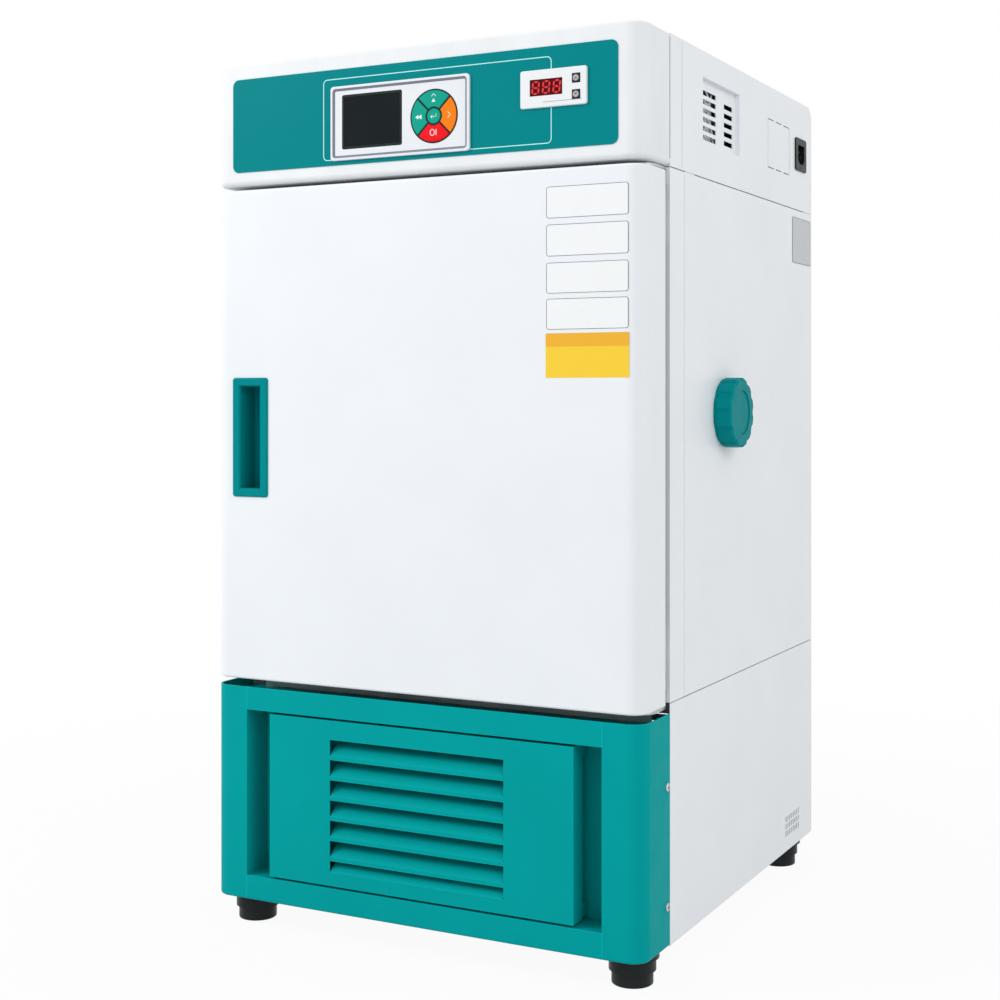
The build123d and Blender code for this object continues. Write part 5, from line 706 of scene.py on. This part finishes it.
# Dark strips with a rubber finish in the gap behind the door, standing in for the shade in that gap. The
# right one stops beside the inner door's hinge shoes, which pass there when both doors open.
LIP_INSET, LIP_WIDTH, LIP_END, LIP_EASE = 5.0 * MM, 6.0 * MM, 30.0 * MM, 0.5 * MM
SHOE_REACH, SHOE_GAP = 50.0 * MM, 6.0 * MM
GASKET_LOW, GASKET_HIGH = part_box("door_gasket")
SHOES_LOW, SHOES_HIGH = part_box("inner_door_fittings")
lip_depth = GASKET_HIGH.y - GASKET_LOW.y - 2 * LIP_EASE
lip_low, lip_high = SHELL_LOW.z + LIP_END, SHELL_HIGH.z - LIP_END
lip_left = LEFT + LIP_INSET + LIP_WIDTH / 2
lip_right = RIGHT - LIP_INSET - LIP_WIDTH / 2
GAP_SHADE_LIPS = {
    "door_shade_lip_left": (lip_left, lip_low, lip_high),
    "door_shade_lip_right_low": (lip_right, lip_low, SHOES_LOW.z - SHOE_GAP),
    "door_shade_lip_right": (lip_right, SHOES_LOW.z + SHOE_REACH, SHOES_HIGH.z - SHOE_REACH),
    "door_shade_lip_right_high": (lip_right, SHOES_HIGH.z + SHOE_GAP, lip_high),
}
for name, (across, low, high) in GAP_SHADE_LIPS.items():
    centre = (across, GASKET_HIGH.y - LIP_EASE, (low + high) / 2)
    slab(name, rounded(LIP_WIDTH, high - low, 1.5 * MM), centre, lip_depth, "shade_and_mark_dark", "door",
         edge=0.8 * MM)

# Dark strip that closes the trough between the base and the body, behind the door's bottom edge: it stands
# in for the shade in the trough and keeps light from showing through there
POST_BACK, POST_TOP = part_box("base_post_right")[1].yz
FRAME_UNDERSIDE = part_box("front_frame")[0].z
trough_size = (RIGHT - LEFT - 1.0 * MM, FRAME_UNDERSIDE - POST_TOP - 0.4 * MM)
trough_centre = ((LEFT + RIGHT) / 2, POST_BACK + 0.3 * MM, (POST_TOP + FRAME_UNDERSIDE) / 2)
slab("trough_shade_strip", rounded(*trough_size, 1.0 * MM), trough_centre, 1.2 * MM, "shade_and_mark_dark", "cabinet")


# Camera, floor and light

CAMERA_PLACE = (0.9076, -1.86375, 0.6248)
CAMERA_TURN = 0.4777
camera_data = bpy.data.cameras.new("camera")
camera_data.sensor_width = 36.0
camera_data.lens = 58.63
camera_data.shift_y = -0.1027
camera = bpy.data.objects.new("camera", camera_data)
camera.location = CAMERA_PLACE
camera.rotation_euler = (math.radians(90.0), 0.0, CAMERA_TURN)
bpy.context.scene.collection.objects.link(camera)
bpy.context.scene.camera = camera

FLOOR_TONE = (0.68, 0.68, 0.69, 1.0)
FLOOR_GLOW = 0.94
GLOW_START, GLOW_FULL = 0.5, 1.6
WORLD_LIGHT = 0.76


def seen_rays(tree):
    """One for rays that show the backdrop: camera, glossy and transmission rays."""
    path = tree.nodes.new("ShaderNodeLightPath")
    seen = maths(tree, "MAXIMUM", path.outputs["Is Camera Ray"], path.outputs["Is Glossy Ray"])
    return maths(tree, "MAXIMUM", seen, path.outputs["Is Transmission Ray"])


def floor_material():
    """White sweep that keeps a soft shadow near the object and fades to the white background."""
    material = bpy.data.materials.new("floor_white")
    material.use_nodes = True
    tree = material.node_tree
    tree.nodes.clear()
    output = tree.nodes.new("ShaderNodeOutputMaterial")
    diffuse = tree.nodes.new("ShaderNodeBsdfDiffuse")
    diffuse.inputs["Color"].default_value = FLOOR_TONE
    glow = tree.nodes.new("ShaderNodeEmission")
    coords = tree.nodes.new("ShaderNodeTexCoord")
    length = tree.nodes.new("ShaderNodeVectorMath")
    length.operation = "LENGTH"
    tree.links.new(coords.outputs["Object"], length.inputs[0])
    share = ramp(tree, length.outputs["Value"], FLOOR_GLOW, 1.0, GLOW_START, GLOW_FULL)
    mix = tree.nodes.new("ShaderNodeMixShader")
    tree.links.new(maths(tree, "MULTIPLY", share, seen_rays(tree)), mix.inputs[0])
    tree.links.new(diffuse.outputs[0], mix.inputs[1])
    tree.links.new(glow.outputs[0], mix.inputs[2])
    tree.links.new(mix.outputs[0], output.inputs["Surface"])
    return material


bpy.ops.mesh.primitive_plane_add(size=12.0, location=(0.0, 0.0, -0.2 * MM))
floor = bpy.context.object
floor.name = "floor"
floor.data.materials.append(floor_material())

world = bpy.data.worlds.new("studio")
bpy.context.scene.world = world
world.use_nodes = True
sky = world.node_tree
background = sky.nodes["Background"]
background.inputs["Color"].default_value = (1.0, 1.0, 1.0, 1.0)
sky.links.new(ramp(sky, seen_rays(sky), WORLD_LIGHT, 1.0, 0.0, 1.0), background.inputs["Strength"])


def softbox(name, place, aim, size, watts):
    """Square area lamp that looks at a point."""
    data = bpy.data.lights.new(name, "AREA")
    data.size = size
    data.energy = watts
    lamp = bpy.data.objects.new(name, data)
    lamp.location = place
    lamp.rotation_euler = (Vector(aim) - Vector(place)).to_track_quat("-Z", "Y").to_euler()
    bpy.context.scene.collection.objects.link(lamp)
    return lamp


softbox("key_lamp", place=(-2.5, -2.3, 2.3), aim=(0.0, 0.0, 0.5), size=1.2, watts=56.0)
softbox("side_lamp", place=(3.2, -1.6, 2.4), aim=(0.2, 0.0, 0.5), size=2.0, watts=30.0)

bpy.context.scene.view_settings.view_transform = "Standard"
